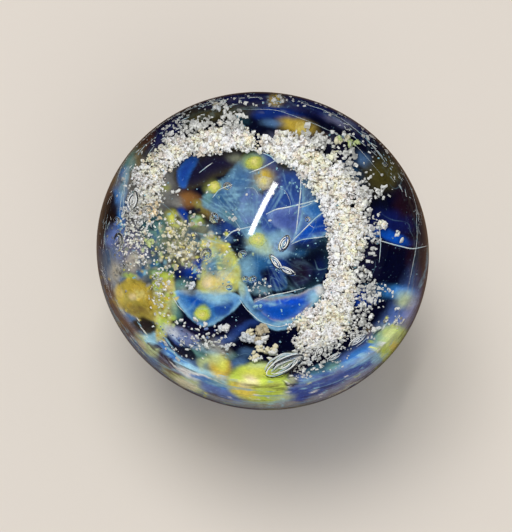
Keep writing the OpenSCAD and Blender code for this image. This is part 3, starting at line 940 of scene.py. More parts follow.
def bowl_point(around, share):
    """A point on the bowl: the first rings lie on the dish, the rest outside, down to the bottom."""
    ring = share * (DISH_RINGS + SKIN_RINGS)
    if ring < DISH_RINGS + 0.5:
        r = DISH_EDGE_R * ring / DISH_RINGS
        z = DISH_CENTRE[2] - math.sqrt(DISH_R**2 - r * r)
        return r * math.cos(around), r * math.sin(around), z
    lip = math.asin(LIP_Z / BOWL_HALF[2])
    fall = (ring - DISH_RINGS - 1) / (SKIN_RINGS - 1)
    low = lip - fall**CROWDING * (lip + math.pi / 2)
    return round_axis(BOWL_HALF, math.cos(low), around, math.sin(low))


def degrees_round(places):
    """Directions of places from the middle, in degrees anticlockwise from the right."""
    return np.degrees(np.arctan2(places[:, 1], places[:, 0]))


def skin_swirls():
    """Random streaks and spots for the bowl's outside, as rows of stains."""
    rng = random.Random(71)
    rows = []
    for _ in range(SWIRLS):
        place = (rng.uniform(-180, 180), rng.uniform(-70, 10))
        size = (rng.uniform(8, 34), rng.uniform(1.5, 7))
        look = (rng.uniform(-12, 12), rng.uniform(0.5, 0.9), rng.uniform(0.5, 0.95))
        rows.append((*place, *size, *look, rng.choice(SWIRL_SHADES)))
    for _ in range(SPOTS):
        place = (rng.uniform(-180, 180), rng.uniform(-45, 4))
        size = rng.uniform(3, 9)
        turn = rng.uniform(-30, 30)
        outer, inner = rng.choice(("moss", "lime", "ochre")), rng.choice(("lemon", "gold", "cream"))
        rows.append((*place, size * 1.4, size, turn, 0.35, 0.95, outer))
        rows.append((*place, size * 0.8, size * 0.5, turn, 0.6, 0.9, inner))
    return [(row[0] + shift, *row[1:]) for row in rows for shift in (-360, 0, 360)]


def skin_colours(points):
    """Stains of the bowl's outside by direction and height, with streaks round the ball."""
    heights = np.arcsin(np.clip(points[:, 2] / BALL_HALF[2], -1, 1))
    angles = np.degrees(np.stack([np.arctan2(points[:, 1], points[:, 0]), heights], 1))
    colours = np.tile(PALETTE["navy"], (len(points), 1))
    wavy = stir(angles, ((14.0, 3.0), (5.0, 1.5), (1.8, 0.6)), 7.0)
    lay_stains(colours, wavy, skin_swirls())
    lay_stains(colours, wavy, SKIN_STAINS)
    for thin, strength, name, seed in ((0.12, 0.5, "ice", 2.0), (0.10, 0.5, "night", 4.0)):
        lay_wisps(colours, wavy, 40.0, 2.5, thin, strength, name, seed)
    return colours


def band_cover(places):
    """How thickly the C of grains lies at these places, 0 to 1, ragged along both edges."""
    away = places - BAND_MIDDLE
    angle = degrees_round(away)
    angle[angle < BAND_EDGES[0, 0]] += 360
    inner, outer, cover = (np.interp(angle, BAND_EDGES[:, 0], BAND_EDGES[:, k]) for k in (1, 2, 3))
    reach = np.hypot(away[:, 0], away[:, 1])
    ragged = 0.06 * field(places, 0.11, 0.11, 1.5) + 0.05 * field(places, 0.035, 0.035, 2.5)
    edge = np.minimum(reach - inner + 0.4 * ragged, outer - reach + ragged)
    bent = angle + 11 * field(places, 0.08, 0.08, 4.5)
    ends = smooth_step(-3, 3, bent - BAND_EDGES[0, 0]) * smooth_step(-3, 3, BAND_EDGES[-1, 0] - bent)
    return cover * ends * smooth_step(-0.03, 0.03, edge)


def clumps(places):
    """Where the grains of the C cling together, 0 in the gaps and 1 elsewhere."""
    return smooth_step(-0.38, -0.18, field(places, 0.020, 0.020, 6.0))


def lay_bed(colours, places):
    """White dust under the C of grains, with dark gaps."""
    cover = smooth_step(0.4, 1.0, band_cover(places)) * clumps(places) * 0.9
    colours += (PALETTE["frost"] - colours) * cover[:, None]


def flecks(rng):
    """Small soft stains strewn as FLECKS says, to lay like any others."""
    rows = []
    for right, up, wide, high, count, size, names in FLECKS:
        for _ in range(count):
            place = (right + rng.gauss(0, 0.5) * wide, up + rng.gauss(0, 0.5) * high)
            big = size * rng.uniform(0.5, 1.4)
            look = (big, big * rng.uniform(0.5, 1), rng.uniform(0, 180), 0.6, 0.85)
            rows.append((*place, *look, rng.choice(names)))
    return rows


def along_outline(turns, reaches):
    """Places in these directions, at these shares of the way out to the outline."""
    return np.stack([reaches * np.cos(turns), OUTLINE_HEIGHT * reaches * np.sin(turns)], -1)


def rim_glint_dashes(rng):
    """Painted glints: short light dashes along the lower rim, to lay like any other stains."""
    rows = []
    for _ in range(RIM_GLINT_DASHES):
        turn = rng.uniform(205, 345)
        place = along_outline(math.radians(turn), rng.uniform(0.86, 0.985))
        size = (rng.uniform(0.006, 0.035), rng.uniform(0.002, 0.004))
        rows.append((*place, *size, turn + 90, 0.6, 0.85, rng.choice(("ice", "ice", "frost", "celery"))))
    return rows


def middle_wisps(colours, places):
    """Lay hair-fine wisps over the middle: round it, across it and up it."""
    from_middle = places - WISP_MIDDLE
    far = np.hypot(from_middle[:, 0], from_middle[:, 1])
    near = far < WISP_REACH
    patch, here = colours[near], places[near]
    rings = np.stack([far, degrees_round(from_middle)], 1)[near]
    lay_wisps(patch, rings, 0.30, 5.0, 0.10, 0.50, "ice", 4.0)
    lay_wisps(patch, stir(here, ((0.2, 0.06),), 3.0), 0.20, 0.05, 0.06, 0.50, "ice", 8.0)
    lay_wisps(patch, stir(here, ((0.3, 0.10),), 6.0), 0.04, 0.22, 0.05, 0.30, "ice", 2.0)
    colours[near] = patch


def rim_reflections(colours, round_rim):
    """Lay painted reflections: thin streaks along the rim, fading in towards the outline."""
    near = round_rim[:, 1] > RIM_REFLECTIONS[0]
    patch = colours[near]
    for thin, strength, name, seed in ((0.10, 0.4, "sand", 1.0), (0.05, 0.3, "ice", 5.0)):
        lay_wisps(patch, round_rim[near], 40.0, 0.02, thin, strength, name, seed)
    fade = smooth_step(*RIM_REFLECTIONS, round_rim[near, 1])[:, None]
    colours[near] += (patch - colours[near]) * fade


def eye_colours(places):
    """Stains as the eye sees them, with painted reflections, glints and highlights, in ball radii right
    and up of the middle.
    """
    colours = np.tile(PALETTE["ink"], (len(places), 1))
    wavy = stir(places, ((0.30, 0.02), (0.06, 0.008), (0.02, 0.004)), 9.0)
    round_rim = np.stack([degrees_round(wavy), rim_reach(wavy)], 1)
    lay_stains(colours, stir(places, ((0.16, 0.035), (0.05, 0.014)), 2.0), DISH_STAINS)
    lay_stains(colours, round_rim, RIM_STAINS_AND_REFLECTIONS)
    lay_films(colours, wavy, FILMS)
    lay_stains(colours, wavy, flecks(random.Random(83)))
    lay_stains(colours, wavy, LATE_STAINS_AND_PAINTED_BUBBLE)
    lay_stains(colours, wavy, rim_glint_dashes(random.Random(91)))
    middle_wisps(colours, places)
    grain = 0.16 * field(places, 0.018, 0.018, 5.0) + 0.14 * field(places, 0.05, 0.05, 6.0)
    colours *= 1 + grain[:, None]
    lay_bed(colours, places)
    rim_reflections(colours, round_rim)
    return colours


def skin_share(points):
    """Where the streaks and the painted light show: on the bowl's outside and on the dish's outer slope.
    """
    return smooth_step(*SKIN_STREAKS, np.sqrt(((points / BOWL_HALF) ** 2).sum(1)))


def bowl_colours(points):
    """What the eye sees is stained as it shows, the rest of the outside by direction and height, and the
    outside gets painted light.
    """
    outside = ((points / BOWL_HALF) ** 2).sum(1) > 0.999
    facing = np.where(outside, (unit(points / BALL_HALF**2) * unit(EYE - points)).sum(1), 1)
    share = smooth_step(0.0, GRAZING, facing)[:, None]
    colours = skin_colours(points)
    seen = facing > 0
    colours[seen] += share[seen] * (eye_colours(seen_at(points[seen])) - colours[seen])
    # Painted light: the outside is painted brighter where it gets less light
    return colours * (1 + SKIN_PAINTED_LIGHT * skin_share(points))[:, None]


def cobalt_bowl():
    """The dark glass that fills the ball's lower half."""
    bm = round_shell(BOWL_SPOKES, DISH_RINGS + SKIN_RINGS, bowl_point)
    material = painted_glass("stained_bowl", 900.0, 0.9, 0.5, 0.4, gloss=0.0, dust=0.5, streaked=True)
    piece = to_piece(bm, "stained_bowl", material)
    points = np.empty(len(piece.data.vertices) * 3)
    piece.data.vertices.foreach_get("co", points)
    points = points.reshape(-1, 3)
    paint(piece, bowl_colours(points), skin_share(points))
    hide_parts("cobalt_bowl")


# ---------------------------------------------------------------- crushed grains

# Coarse and fine grains of the C: name, count, radius in metres, greatest lift off the dish, seed
BAND_PARTS = [
    ("white_grain_band", 16400, 0.000057, 0.0006, 11),
    ("white_grain_dust", 16400, 0.000042, 0.0003, 17),
]
# Colour of the palest grains, and what the creamiest ones lack of it
PALEST = np.array((1.24, 1.11, 1.0))
CREAMIER = np.array((0, 0.03, 0.19))
# How the colour of the C drifts from patch to patch
DRIFT = np.array((0.05, 0.0, -0.22))
# Places are drawn this many at a time, at these distances from the middle of the C
DRAWN_AT_ONCE = 4000
NEAREST, FARTHEST = 0.40, 0.95
# Flakes are joined in batches of this many, because small meshes are quicker to build
BATCH = 60
FLAKE_CORNERS = 8

# Loose grains: right, up, width and height they spread over, count, radius in metres, colour
LOOSE = [
    (0.62, 0.32, 0.06, 0.24, 42, 0.00009, "frost"),
    (0.66, 0.14, 0.06, 0.18, 54, 0.00009, "frost"),
    (0.60, -0.13, 0.04, 0.06, 24, 0.00009, "frost"),
    (0.64, -0.24, 0.10, 0.08, 130, 0.00009, "frost"),
    (0.59, -0.46, 0.09, 0.12, 78, 0.00009, "frost"),
    (0.36, -0.62, 0.14, 0.12, 150, 0.00009, "frost"),
    (0.56, -0.38, 0.08, 0.08, 60, 0.00008, "frost"),
    (0.25, -0.74, 0.07, 0.08, 80, 0.00008, "frost"),
    (0.30, 0.68, 0.30, 0.05, 40, 0.00009, "frost"),
    (0.36, 0.66, 0.05, 0.04, 60, 0.00009, "frost"),
    (0.52, 0.59, 0.05, 0.04, 32, 0.00009, "frost"),
    (0.53, 0.49, 0.05, 0.04, 36, 0.00008, "frost"),
    (0.70, 0.35, 0.05, 0.04, 20, 0.00009, "frost"),
    (-0.18, 0.78, 0.08, 0.06, 70, 0.00009, "frost"),
    (-0.05, 0.90, 0.60, 0.04, 60, 0.00007, "frost"),
    (0.62, 0.60, 0.24, 0.24, 60, 0.00008, "frost"),
    (-0.50, 0.74, 0.30, 0.14, 160, 0.00007, "frost"),
    (-0.48, 0.04, 0.14, 0.16, 90, 0.00008, "cream"),
    (-0.47, 0.00, 0.14, 0.16, 40, 0.00007, "butter"),
    (-0.50, 0.02, 0.16, 0.18, 110, 0.00006, "frost"),
    (-0.66, 0.24, 0.05, 0.06, 30, 0.00008, "peach"),
    (-0.74, 0.28, 0.12, 0.28, 200, 0.00006, "frost"),
    (-0.85, -0.02, 0.08, 0.24, 60, 0.00008, "ash"),
    (-0.62, -0.24, 0.07, 0.26, 110, 0.00007, "frost"),
    (-0.40, -0.56, 0.24, 0.10, 70, 0.00009, "frost"),
    (-0.02, -0.22, 0.08, 0.06, 26, 0.00006, "frost"),
    (-0.27, 0.10, 0.24, 0.20, 40, 0.00007, "frost"),
    (0.05, 0.10, 0.80, 0.80, 160, 0.00005, "ice"),
    (-0.42, 0.76, 0.08, 0.05, 44, 0.00009, "frost"),
    (0.62, -0.36, 0.04, 0.03, 18, 0.00009, "frost"),
    (0.56, -0.53, 0.10, 0.04, 50, 0.00008, "frost"),
    (0.80, -0.43, 0.08, 0.03, 40, 0.00007, "frost"),
    (-0.50, -0.50, 0.10, 0.06, 40, 0.00006, "lilac"),
]


def grain_places(count, rng):
    """Random places in the C, as thick as it lies."""
    found = np.empty((0, 2))
    while len(found) < count:
        turns = [rng.uniform(0, math.tau) for _ in range(DRAWN_AT_ONCE)]
        reaches = [math.sqrt(rng.uniform(NEAREST**2, FARTHEST**2)) for _ in range(DRAWN_AT_ONCE)]
        places = BAND_MIDDLE + np.stack([reaches * np.cos(turns), reaches * np.sin(turns)], 1)
        chances = np.array([rng.random() for _ in places])
        found = np.vstack([found, places[chances < band_cover(places) * clumps(places)]])
    return found[:count]


def add_shard(bm, at, radius, rng):
    """A small angular flake of crushed glass."""
    axis = Vector((rng.gauss(0, 1), rng.gauss(0, 1), rng.gauss(0, 1)))
    turn = Matrix.Rotation(rng.uniform(0, math.tau), 4, axis)
    stretch = Matrix.Diagonal((rng.uniform(0.6, 1.7), rng.uniform(0.5, 1.2), rng.uniform(0.4, 0.9), 1))
    place = Matrix.Translation(at) @ turn @ stretch
    made = bmesh.ops.create_cube(bm, size=1.5 * radius, matrix=place)
    for vert in made["verts"]:
        vert.co += Vector((rng.uniform(-1, 1), rng.uniform(-1, 1), rng.uniform(-1, 1))) * radius * 0.35


def shard_piece(name, material, points, radii, tones, rng):
    """Many flakes in one piece, made a batch at a time, each of its own tone."""
    whole = bmesh.new()
    for first in range(0, len(points), BATCH):
        bm = bmesh.new()
        for at, radius in zip(points[first : first + BATCH], radii[first : first + BATCH], strict=True):
            add_shard(bm, Vector(at), radius, rng)
        batch = to_mesh(bm, "batch")
        whole.from_mesh(batch)
        bpy.data.meshes.remove(batch)
    piece = to_piece(whole, name, material, smooth=False)
    paint(piece, np.repeat(tones, FLAKE_CORNERS, axis=0))
    return piece


def grain_band():
    """The C of crushed white glass, lying on the dish."""
    material = painted_glass("white_grains", 5000.0, 0.2, 0.2, 0.35, gloss=0.4)
    for name, count, radius, lift, seed in BAND_PARTS:
        rng = random.Random(seed)
        places = grain_places(count, rng)
        points = on_dish(places, np.array([rng.uniform(0, lift) for _ in places]))
        radii = [radius * rng.lognormvariate(0, 0.4) for _ in places]
        shade = np.array([(1 - 0.7 * rng.random() ** 5, rng.random() ** 2) for _ in places])
        tones = shade[:, :1] * (PALEST - shade[:, 1:] * CREAMIER)
        warm = field(places, 0.12, 0.12, 6.0)[:, None] * DRIFT
        tones *= 1.04 + warm + 0.30 * field(places, 0.035, 0.035, 8.0)[:, None]
        piece = shard_piece(name, material, points, radii, tones, rng)
        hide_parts("grain_band")


def loose_grains():
    """Grains that strayed from the C, white and creamy, among the stains."""
    rng = random.Random(23)
    points, radii, tones = [], [], []
    for right, up, wide, high, count, radius, name in LOOSE:
        for _ in range(count):
            place = (right + wide * rng.gauss(0, 0.5), up + high * rng.gauss(0, 0.5))
            points.append(on_dish([place], rng.uniform(0, 0.001))[0])
            radii.append(radius * rng.lognormvariate(0, 0.3))
            tones.append(PALETTE[name] * rng.uniform(0.65, 1.15))
    material = painted_glass("loose_grains", 5000.0, 0.5, 0.3, 0.35, gloss=0.5)
    shard_piece("loose_grains", material, points, radii, np.array(tones), rng)


# ---------------------------------------------------------------- frit spots

# Right, up, radius in ball radii, colour
FRIT = [
    (-0.29, -0.20, 0.07, "cream"),
    (-0.22, -0.07, 0.05, "celery"),
    (-0.74, -0.27, 0.08, "ochre"),
    (-0.37, -0.39, 0.04, "lemon"),
    (-0.05, 0.54, 0.035, "lemon"),
    (0.01, 0.42, 0.035, "cream"),
    (-0.03, 0.07, 0.035, "lemon"),
    (-0.29, 0.39, 0.03, "lemon"),
    (0.24, 0.74, 0.05, "ochre"),
]

# How high a drop stands for its width, and the size below which a drop is denser
DROP_HEIGHT = 0.12
SMALL_DROP = 0.045


def frit_spots():
    """Low drops of yellow-green frit: a pale heart in a greener halo that fades into the glass."""
    bm = bmesh.new()
    colours, alphas = [], []
    for right, up, size, name in FRIT:
        foot = Vector(on_dish([(right, up)])[0])
        radius = size * BALL_R
        place = Matrix.Translation(foot)
        made = bmesh.ops.create_icosphere(bm, subdivisions=4, radius=radius, matrix=place)
        for vert in made["verts"]:
            out = (vert.co - foot) / radius
            ragged = 1 + 0.25 * noise.noise(out * 1.7 + foot * 900) + 0.12 * noise.noise(out * 5)
            aside = math.hypot(out.x, out.y)
            out.z *= DROP_HEIGHT
            vert.co = foot + out * radius * ragged
            heart = min(1.0, max(0.0, 1.3 - 2.2 * aside + 0.9 * noise.noise(out * 4 + foot * 500)))
            fleck = 1 + 0.5 * noise.noise(out * 9 + foot * 700)
            colour = PALETTE[name] + (PALETTE["butter"] - PALETTE[name]) * heart
            colours.append(colour * fleck)
            thickness = 0.85 if size < SMALL_DROP else 0.45
            alphas.append(thickness * (1 - min(1.0, aside)) ** 0.6)
    material = painted_glass("yellow_frit", 3000.0, 0.6, 0.4, 0.4, see_through=True)
    piece = to_piece(bm, "yellow_frit_spots", material)
    paint(piece, np.array(colours), np.array(alphas))
    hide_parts("frit_spots")


# ---------------------------------------------------------------- beads

# Clusters of fused lumps: right, up, half width and half height they lie over, count, smallest and
# largest radius in metres, colours
LUMP_CLUSTERS = [
    (-0.23, -0.45, 0.03, 0.02, 4, 0.00014, 0.00034, ("pearl", "ash", "frost")),
    (-0.11, -0.51, 0.04, 0.03, 5, 0.00024, 0.00036, ("frost", "cream", "pearl")),
    (-0.01, -0.51, 0.025, 0.05, 8, 0.00022, 0.00034, ("sand", "frost", "pearl")),
    (-0.04, -0.64, 0.04, 0.02, 5, 0.00022, 0.00034, ("cream", "pearl", "frost")),
    (0.05, -0.60, 0.015, 0.015, 2, 0.00038, 0.00044, ("frost", "cream")),
    (-0.02, -0.585, 0.02, 0.01, 2, 0.00024, 0.00030, ("cream", "pearl")),
    (-0.22, -0.57, 0.03, 0.02, 3, 0.00013, 0.00028, ("pearl", "frost")),
    (0.68, -0.46, 0.02, 0.02, 3, 0.00016, 0.00028, ("pearl", "frost")),
    (-0.44, -0.21, 0.03, 0.012, 3, 0.00015, 0.00024, ("pearl", "frost")),
    (-0.50, 0.05, 0.09, 0.12, 20, 0.00009, 0.00017, ("cream", "cream", "butter", "sand", "frost")),
    (-0.68, 0.05, 0.03, 0.02, 4, 0.00012, 0.00019, ("celery",)),
    (-0.52, 0.36, 0.02, 0.02, 2, 0.00011, 0.00014, ("frost",)),
    (-0.85, 0.15, 0.02, 0.03, 3, 0.00009, 0.00013, ("ice",)),
    (-0.42, -0.50, 0.14, 0.08, 24, 0.00009, 0.00015, ("frost", "frost", "frost", "lilac")),
    (-0.42, -0.42, 0.10, 0.03, 5, 0.00009, 0.00014, ("frost",)),
    (0.51, 0.66, 0.06, 0.02, 5, 0.00014, 0.00026, ("celery", "celery", "cream")),
    (0.60, -0.09, 0.05, 0.07, 7, 0.00012, 0.00018, ("frost", "frost", "sand")),
    (0.82, 0.07, 0.02, 0.06, 4, 0.00010, 0.00014, ("frost",)),
    (0.80, -0.34, 0.02, 0.02, 3, 0.00010, 0.00014, ("frost",)),
    (0.10, 0.91, 0.03, 0.02, 5, 0.00011, 0.00018, ("gold", "sand", "frost")),
    (-0.24, 0.87, 0.07, 0.03, 9, 0.00012, 0.00020, ("frost", "frost", "pearl", "sand")),
    (-0.01, -0.35, 0.05, 0.02, 2, 0.00010, 0.00012, ("ice",)),
    (0.80, -0.42, 0.07, 0.02, 7, 0.00010, 0.00022, ("frost", "ash", "cream")),
    (0.07, -0.66, 0.03, 0.02, 3, 0.00014, 0.00022, ("frost", "cream")),
    (0.27, -0.67, 0.06, 0.03, 14, 0.00012, 0.00022, ("frost", "pearl")),
    (0.00, 0.40, 0.40, 0.40, 8, 0.00006, 0.00010, ("frost", "ice")),
]

# A lump under this radius is one blob, and a larger one has several
SINGLE_BLOB = 0.00016
BLOBS = 7


def add_lump(bm, at, radius, rng):
    """One lump of a few rounded blobs; gives each vertex's share of light."""
    shares = []
    single = radius < SINGLE_BLOB
    for _ in range(1 if single else BLOBS):
        aside = Vector((rng.uniform(-1, 1), rng.uniform(-1, 1), rng.uniform(-0.5, 0.5)))
        centre = at + aside * radius * (0 if single else 0.7)
        size = radius if single else radius * rng.uniform(0.3, 0.65)
        stretch = Matrix.Diagonal((rng.uniform(0.8, 1.7), rng.uniform(0.6, 1), rng.uniform(0.5, 1), 1))
        turn = Matrix.Rotation(rng.uniform(0, math.tau), 4, "Z")
        place = Matrix.Translation(centre) @ turn @ stretch
        made = bmesh.ops.create_icosphere(bm, subdivisions=2, radius=size, matrix=place)
        for vert in made["verts"]:
            out = vert.co - centre
            bump = noise.noise(out / size * 1.5 + at * 3000)
            vert.co = centre + out * (1 + 0.6 * bump)
            shares.append(1 + 0.3 * bump)
    return shares


def beads():
    """Lumps of milky glass that fused among the grains, in clusters."""
    rng = random.Random(37)
    bm = bmesh.new()
    tones = []
    for right, up, wide, high, count, smallest, largest, names in LUMP_CLUSTERS:
        for _ in range(count):
            place = (right + rng.uniform(-1, 1) * wide, up + rng.uniform(-1, 1) * high)
            radius = rng.uniform(smallest, largest)
            at = Vector(on_dish([place], radius + rng.uniform(0.0001, 0.0007))[0])
            colour = PALETTE[rng.choice(names)]
            tones += [colour * share for share in add_lump(bm, at, radius, rng)]
    piece = to_piece(bm, "milky_beads", painted_glass("milky_beads", 6000.0, 0.5, 0.5, 0.35, gloss=0.4))
    paint(piece, np.array(tones))


# ---------------------------------------------------------------- threads and bubbles

# Height above the dish and thickness in metres, places
THREADS_AND_RIM_REFLECTIONS = [
    (0.0040, 0.000040, [(0.23, 0.47), (0.23, 0.37), (0.22, 0.27), (0.20, 0.10)]),
    (0.0035, 0.000047, [(0.02, 0.22), (0.08, 0.25), (0.14, 0.26), (0.27, 0.29), (0.34, 0.31)]),
    (0.0030, 0.000029, [(0.22, 0.26), (0.26, 0.27), (0.30, 0.29)]),
    (0.0025, 0.000036, [(0.17, 0.05), (0.25, 0.13), (0.32, 0.20), (0.39, 0.25)]),
    (0.0020, 0.000029, [(0.17, 0.04), (0.24, 0.07), (0.32, 0.08), (0.41, 0.09)]),
    (0.0030, 0.000036, [(-0.08, 0.47), (0.00, 0.50), (0.09, 0.55)]),
    (0.0030, 0.000040, [(0.00, 0.59), (0.05, 0.57), (0.09, 0.53)]),
    (0.0030, 0.000029, [(-0.30, 0.32), (-0.26, 0.37), (-0.18, 0.40)]),
    (0.0020, 0.000040, [(-0.23, 0.07), (-0.18, 0.12), (-0.06, 0.15)]),
    (0.0020, 0.000032, [(-0.14, -0.29), (-0.10, -0.35), (-0.01, -0.43), (0.09, -0.46), (0.17, -0.44)]),
    (0.0020, 0.000032, [(-0.05, -0.31), (0.04, -0.27), (0.15, -0.25), (0.26, -0.22)]),
    (0.0020, 0.000025, [(-0.38, 0.47), (-0.33, 0.51), (-0.30, 0.53)]),
    (0.0030, 0.000012, [(-0.14, 0.85), (0.08, 0.85), (0.30, 0.77), (0.55, 0.65), (0.71, 0.46)]),
    (0.0010, 0.000040, [(0.68, 0.07), (0.78, 0.04), (0.90, 0.01), (0.99, 0.03)]),
    (0.0020, 0.000029, [(0.92, 0.28), (0.93, 0.06), (0.88, -0.20)]),
    (0.0020, 0.000025, [(0.70, 0.16), (0.71, 0.04), (0.70, -0.07)]),
    (0.0014, 0.000101, [(0.05, -0.73), (0.09, -0.69), (0.15, -0.65), (0.20, -0.64)]),
    (0.0014, 0.000086, [(0.02, -0.75), (0.08, -0.76), (0.17, -0.71), (0.22, -0.64)]),
    (0.0014, 0.000086, [(0.01, -0.72), (0.04, -0.67), (0.12, -0.62), (0.21, -0.62)]),
    (0.0012, 0.000086, [(0.14, -0.79), (0.14, -0.82), (0.18, -0.82), (0.21, -0.80)]),
    (0.0014, 0.000086, [(0.06, -0.75), (0.14, -0.71), (0.21, -0.65)]),
    (0.0014, 0.000086, [(0.05, -0.69), (0.12, -0.63), (0.21, -0.63)]),
    (0.0013, 0.000032, [(0.54, -0.56), (0.58, -0.53), (0.62, -0.50)]),
    (0.0013, 0.000029, [(0.56, -0.58), (0.60, -0.55), (0.63, -0.52)]),
    (0.0025, 0.000029, [(0.11, 0.02), (0.12, 0.05), (0.14, 0.02), (0.15, 0.05)]),
    (0.0030, 0.000010, [(0.08, 0.39), (0.14, 0.36), (0.17, 0.29), (0.16, 0.22)]),
    (0.0030, 0.000010, [(-0.10, 0.38), (-0.05, 0.38), (-0.02, 0.33)]),
    (0.0025, 0.000014, [(-0.22, 0.21), (-0.17, 0.19), (-0.13, 0.13)]),
    (0.0025, 0.000014, [(0.27, 0.17), (0.29, 0.15), (0.31, 0.14)]),
    (0.0018, 0.000029, [(0.06, -0.04), (0.06, -0.08), (0.11, -0.12), (0.18, -0.13)]),
    (0.0010, 0.000032, [(-0.54, -0.28), (-0.51, -0.33), (-0.47, -0.37)]),
    # From here on, pale threads along the outline: painted reflections of light at the rim
    (0.0010, 0.000036, [(-0.81, 0.59), (-0.85, 0.50), (-0.88, 0.40)]),
    (0.0008, 0.000025, [(-0.78, 0.65), (-0.68, 0.77), (-0.51, 0.86)]),
    (0.0008, 0.000025, [(-0.59, 0.78), (-0.42, 0.86), (-0.23, 0.92)]),
    (0.0010, 0.000025, [(-0.83, 0.40), (-0.85, 0.31), (-0.86, 0.21)]),
    (0.0010, 0.000022, [(-0.82, 0.47), (-0.83, 0.37), (-0.84, 0.23)]),
    (0.0006, 0.000022, [(-0.93, 0.22), (-0.95, 0.10), (-0.96, -0.02)]),
    (0.0006, 0.000022, [(-0.95, -0.11), (-0.92, -0.25), (-0.87, -0.38)]),
    (0.0008, 0.000022, [(0.81, 0.53), (0.89, 0.38), (0.95, 0.17)]),
    (0.0008, 0.000022, [(0.47, 0.80), (0.62, 0.68), (0.74, 0.53)]),
    (0.0008, 0.000022, [(0.23, 0.89), (0.36, 0.85), (0.48, 0.79)]),
]

# As above, for threads of smoky glass
SMOKY_THREADS = [
    (0.0014, 0.000036, [(0.00, -0.74), (0.05, -0.77), (0.12, -0.76), (0.18, -0.71), (0.23, -0.66)]),
    (0.0014, 0.000029, [(0.06, -0.73), (0.12, -0.68), (0.19, -0.64)]),
    (0.0014, 0.000029, [(0.03, -0.70), (0.09, -0.65), (0.15, -0.62)]),
    (0.0010, 0.000036, [(0.13, -0.79), (0.14, -0.82), (0.18, -0.83), (0.22, -0.80)]),
    (0.0010, 0.000032, [(0.52, -0.58), (0.57, -0.55), (0.63, -0.49)]),
    (0.0010, 0.000036, [(-0.92, 0.37), (-0.94, 0.23), (-0.96, 0.10)]),
    (0.0010, 0.000032, [(-0.89, 0.35), (-0.92, 0.23), (-0.93, 0.11)]),
    (0.0008, 0.000032, [(-0.92, -0.22), (-0.87, -0.34), (-0.80, -0.45)]),
    (0.0008, 0.000029, [(0.80, 0.51), (0.87, 0.39), (0.92, 0.25)]),
    (0.0008, 0.000029, [(0.41, 0.83), (0.54, 0.74), (0.66, 0.62)]),
    (0.0010, 0.000029, [(-0.89, 0.03), (-0.86, 0.05), (-0.83, 0.01)]),
]

# Painted glints near the rim, as short bright threads: directions in degrees from and to, reach from and
# to, count
RIM_GLINTS = [
    (20, 60, 0.90, 0.975, 46),
    (60, 100, 0.93, 0.975, 20),
    (100, 140, 0.92, 0.98, 40),
    (0, 20, 0.94, 0.98, 14),
    (140, 200, 0.93, 0.98, 26),
]
GLINT_POINTS = 6

# A bubble drawn out at least this much has rings of bright arcs, painted highlights, and dark
# arcs, painted shade: share of its size, from and to in degrees
LONG_BUBBLE = 1.45
HIGHLIGHT_ARCS = ((1.05, 20, 185), (0.82, 190, 345), (0.6, 10, 165), (0.3, 190, 350))
SHADE_ARCS = ((1.15, 190, 350), (0.75, 20, 150))
ARC_POINTS = 36
# How far the rings lie above their bubble, and their thickness: least, and more for a larger bubble
RING_LIFT = 0.0006
RING_THICKNESS = (2.2e-5, 0.04)
# Points along a drawn thread for each of its places
FINE_POINTS = 8

# Right, up, height above the dish, radius in metres, stretch, turn in degrees
BUBBLES = [
    (0.13, -0.69, 0.0012, 0.00085, 2.0, 28),
    (0.57, -0.54, 0.0012, 0.00036, 2.4, 34),
    (0.43, -0.64, 0.0010, 0.00030, 2.2, 28),
    (0.34, -0.61, 0.0010, 0.00032, 1.5, 60),
    (0.13, 0.045, 0.0030, 0.00040, 1.5, 62),
    (0.08, -0.07, 0.0025, 0.00034, 2.0, -52),
    (0.15, -0.12, 0.0022, 0.00030, 1.9, -25),
    (-0.06, -0.17, 0.0016, 0.00024, 1.2, 30),
    (-0.12, -0.02, 0.0020, 0.00026, 1.1, 0),
    (-0.10, -0.17, 0.0020, 0.00022, 1.1, 0),
    (-0.20, -0.22, 0.0016, 0.00020, 1.1, 0),
    (-0.34, -0.02, 0.0016, 0.00040, 1.1, 60),
    (-0.21, 0.39, 0.0022, 0.00026, 1.1, 0),
    (-0.29, 0.20, 0.0020, 0.00030, 1.1, 70),
    (0.27, 0.19, 0.0020, 0.00018, 1.0, 0),
    (-0.69, 0.25, 0.0010, 0.00030, 1.2, 0),
    (-0.78, 0.30, 0.0010, 0.00046, 1.5, 75),
    (-0.88, 0.18, 0.0008, 0.00032, 1.1, 0),
    (-0.87, 0.05, 0.0008, 0.00056, 1.25, 80),
    (-0.84, -0.10, 0.0008, 0.00026, 1.1, 0),
    (-0.96, -0.17, 0.0008, 0.00036, 2.6, -72),
    (0.74, 0.52, 0.0012, 0.00020, 1.2, 0),
]


def smooth_run(values, passes=6):
    """Round off the corners of a run of values, keeping its ends."""
    run = values.copy()
    for _ in range(passes):
        run[1:-1] = (run[:-2] + 2 * run[1:-1] + run[2:]) / 4
    return run


def thread_curve(name, material, runs):
    """One piece of many threads, each given as points and a thickness in metres."""
    data = bpy.data.curves.new(name, "CURVE")
    data.dimensions = "3D"
    data.bevel_depth = 1.0
    data.bevel_resolution = 1
    for points, thickness in runs:
        spline = data.splines.new("POLY")
        spline.points.add(len(points) - 1)
        for i, at in enumerate(points):
            spline.points[i].co = (*at, 1)
            fade = math.sin(math.pi * (i + 0.5) / len(points)) ** 0.4
            spline.points[i].radius = thickness * fade
    data.materials.append(material)
    piece = place_in_scene(name, data)
    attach(piece, BODY)


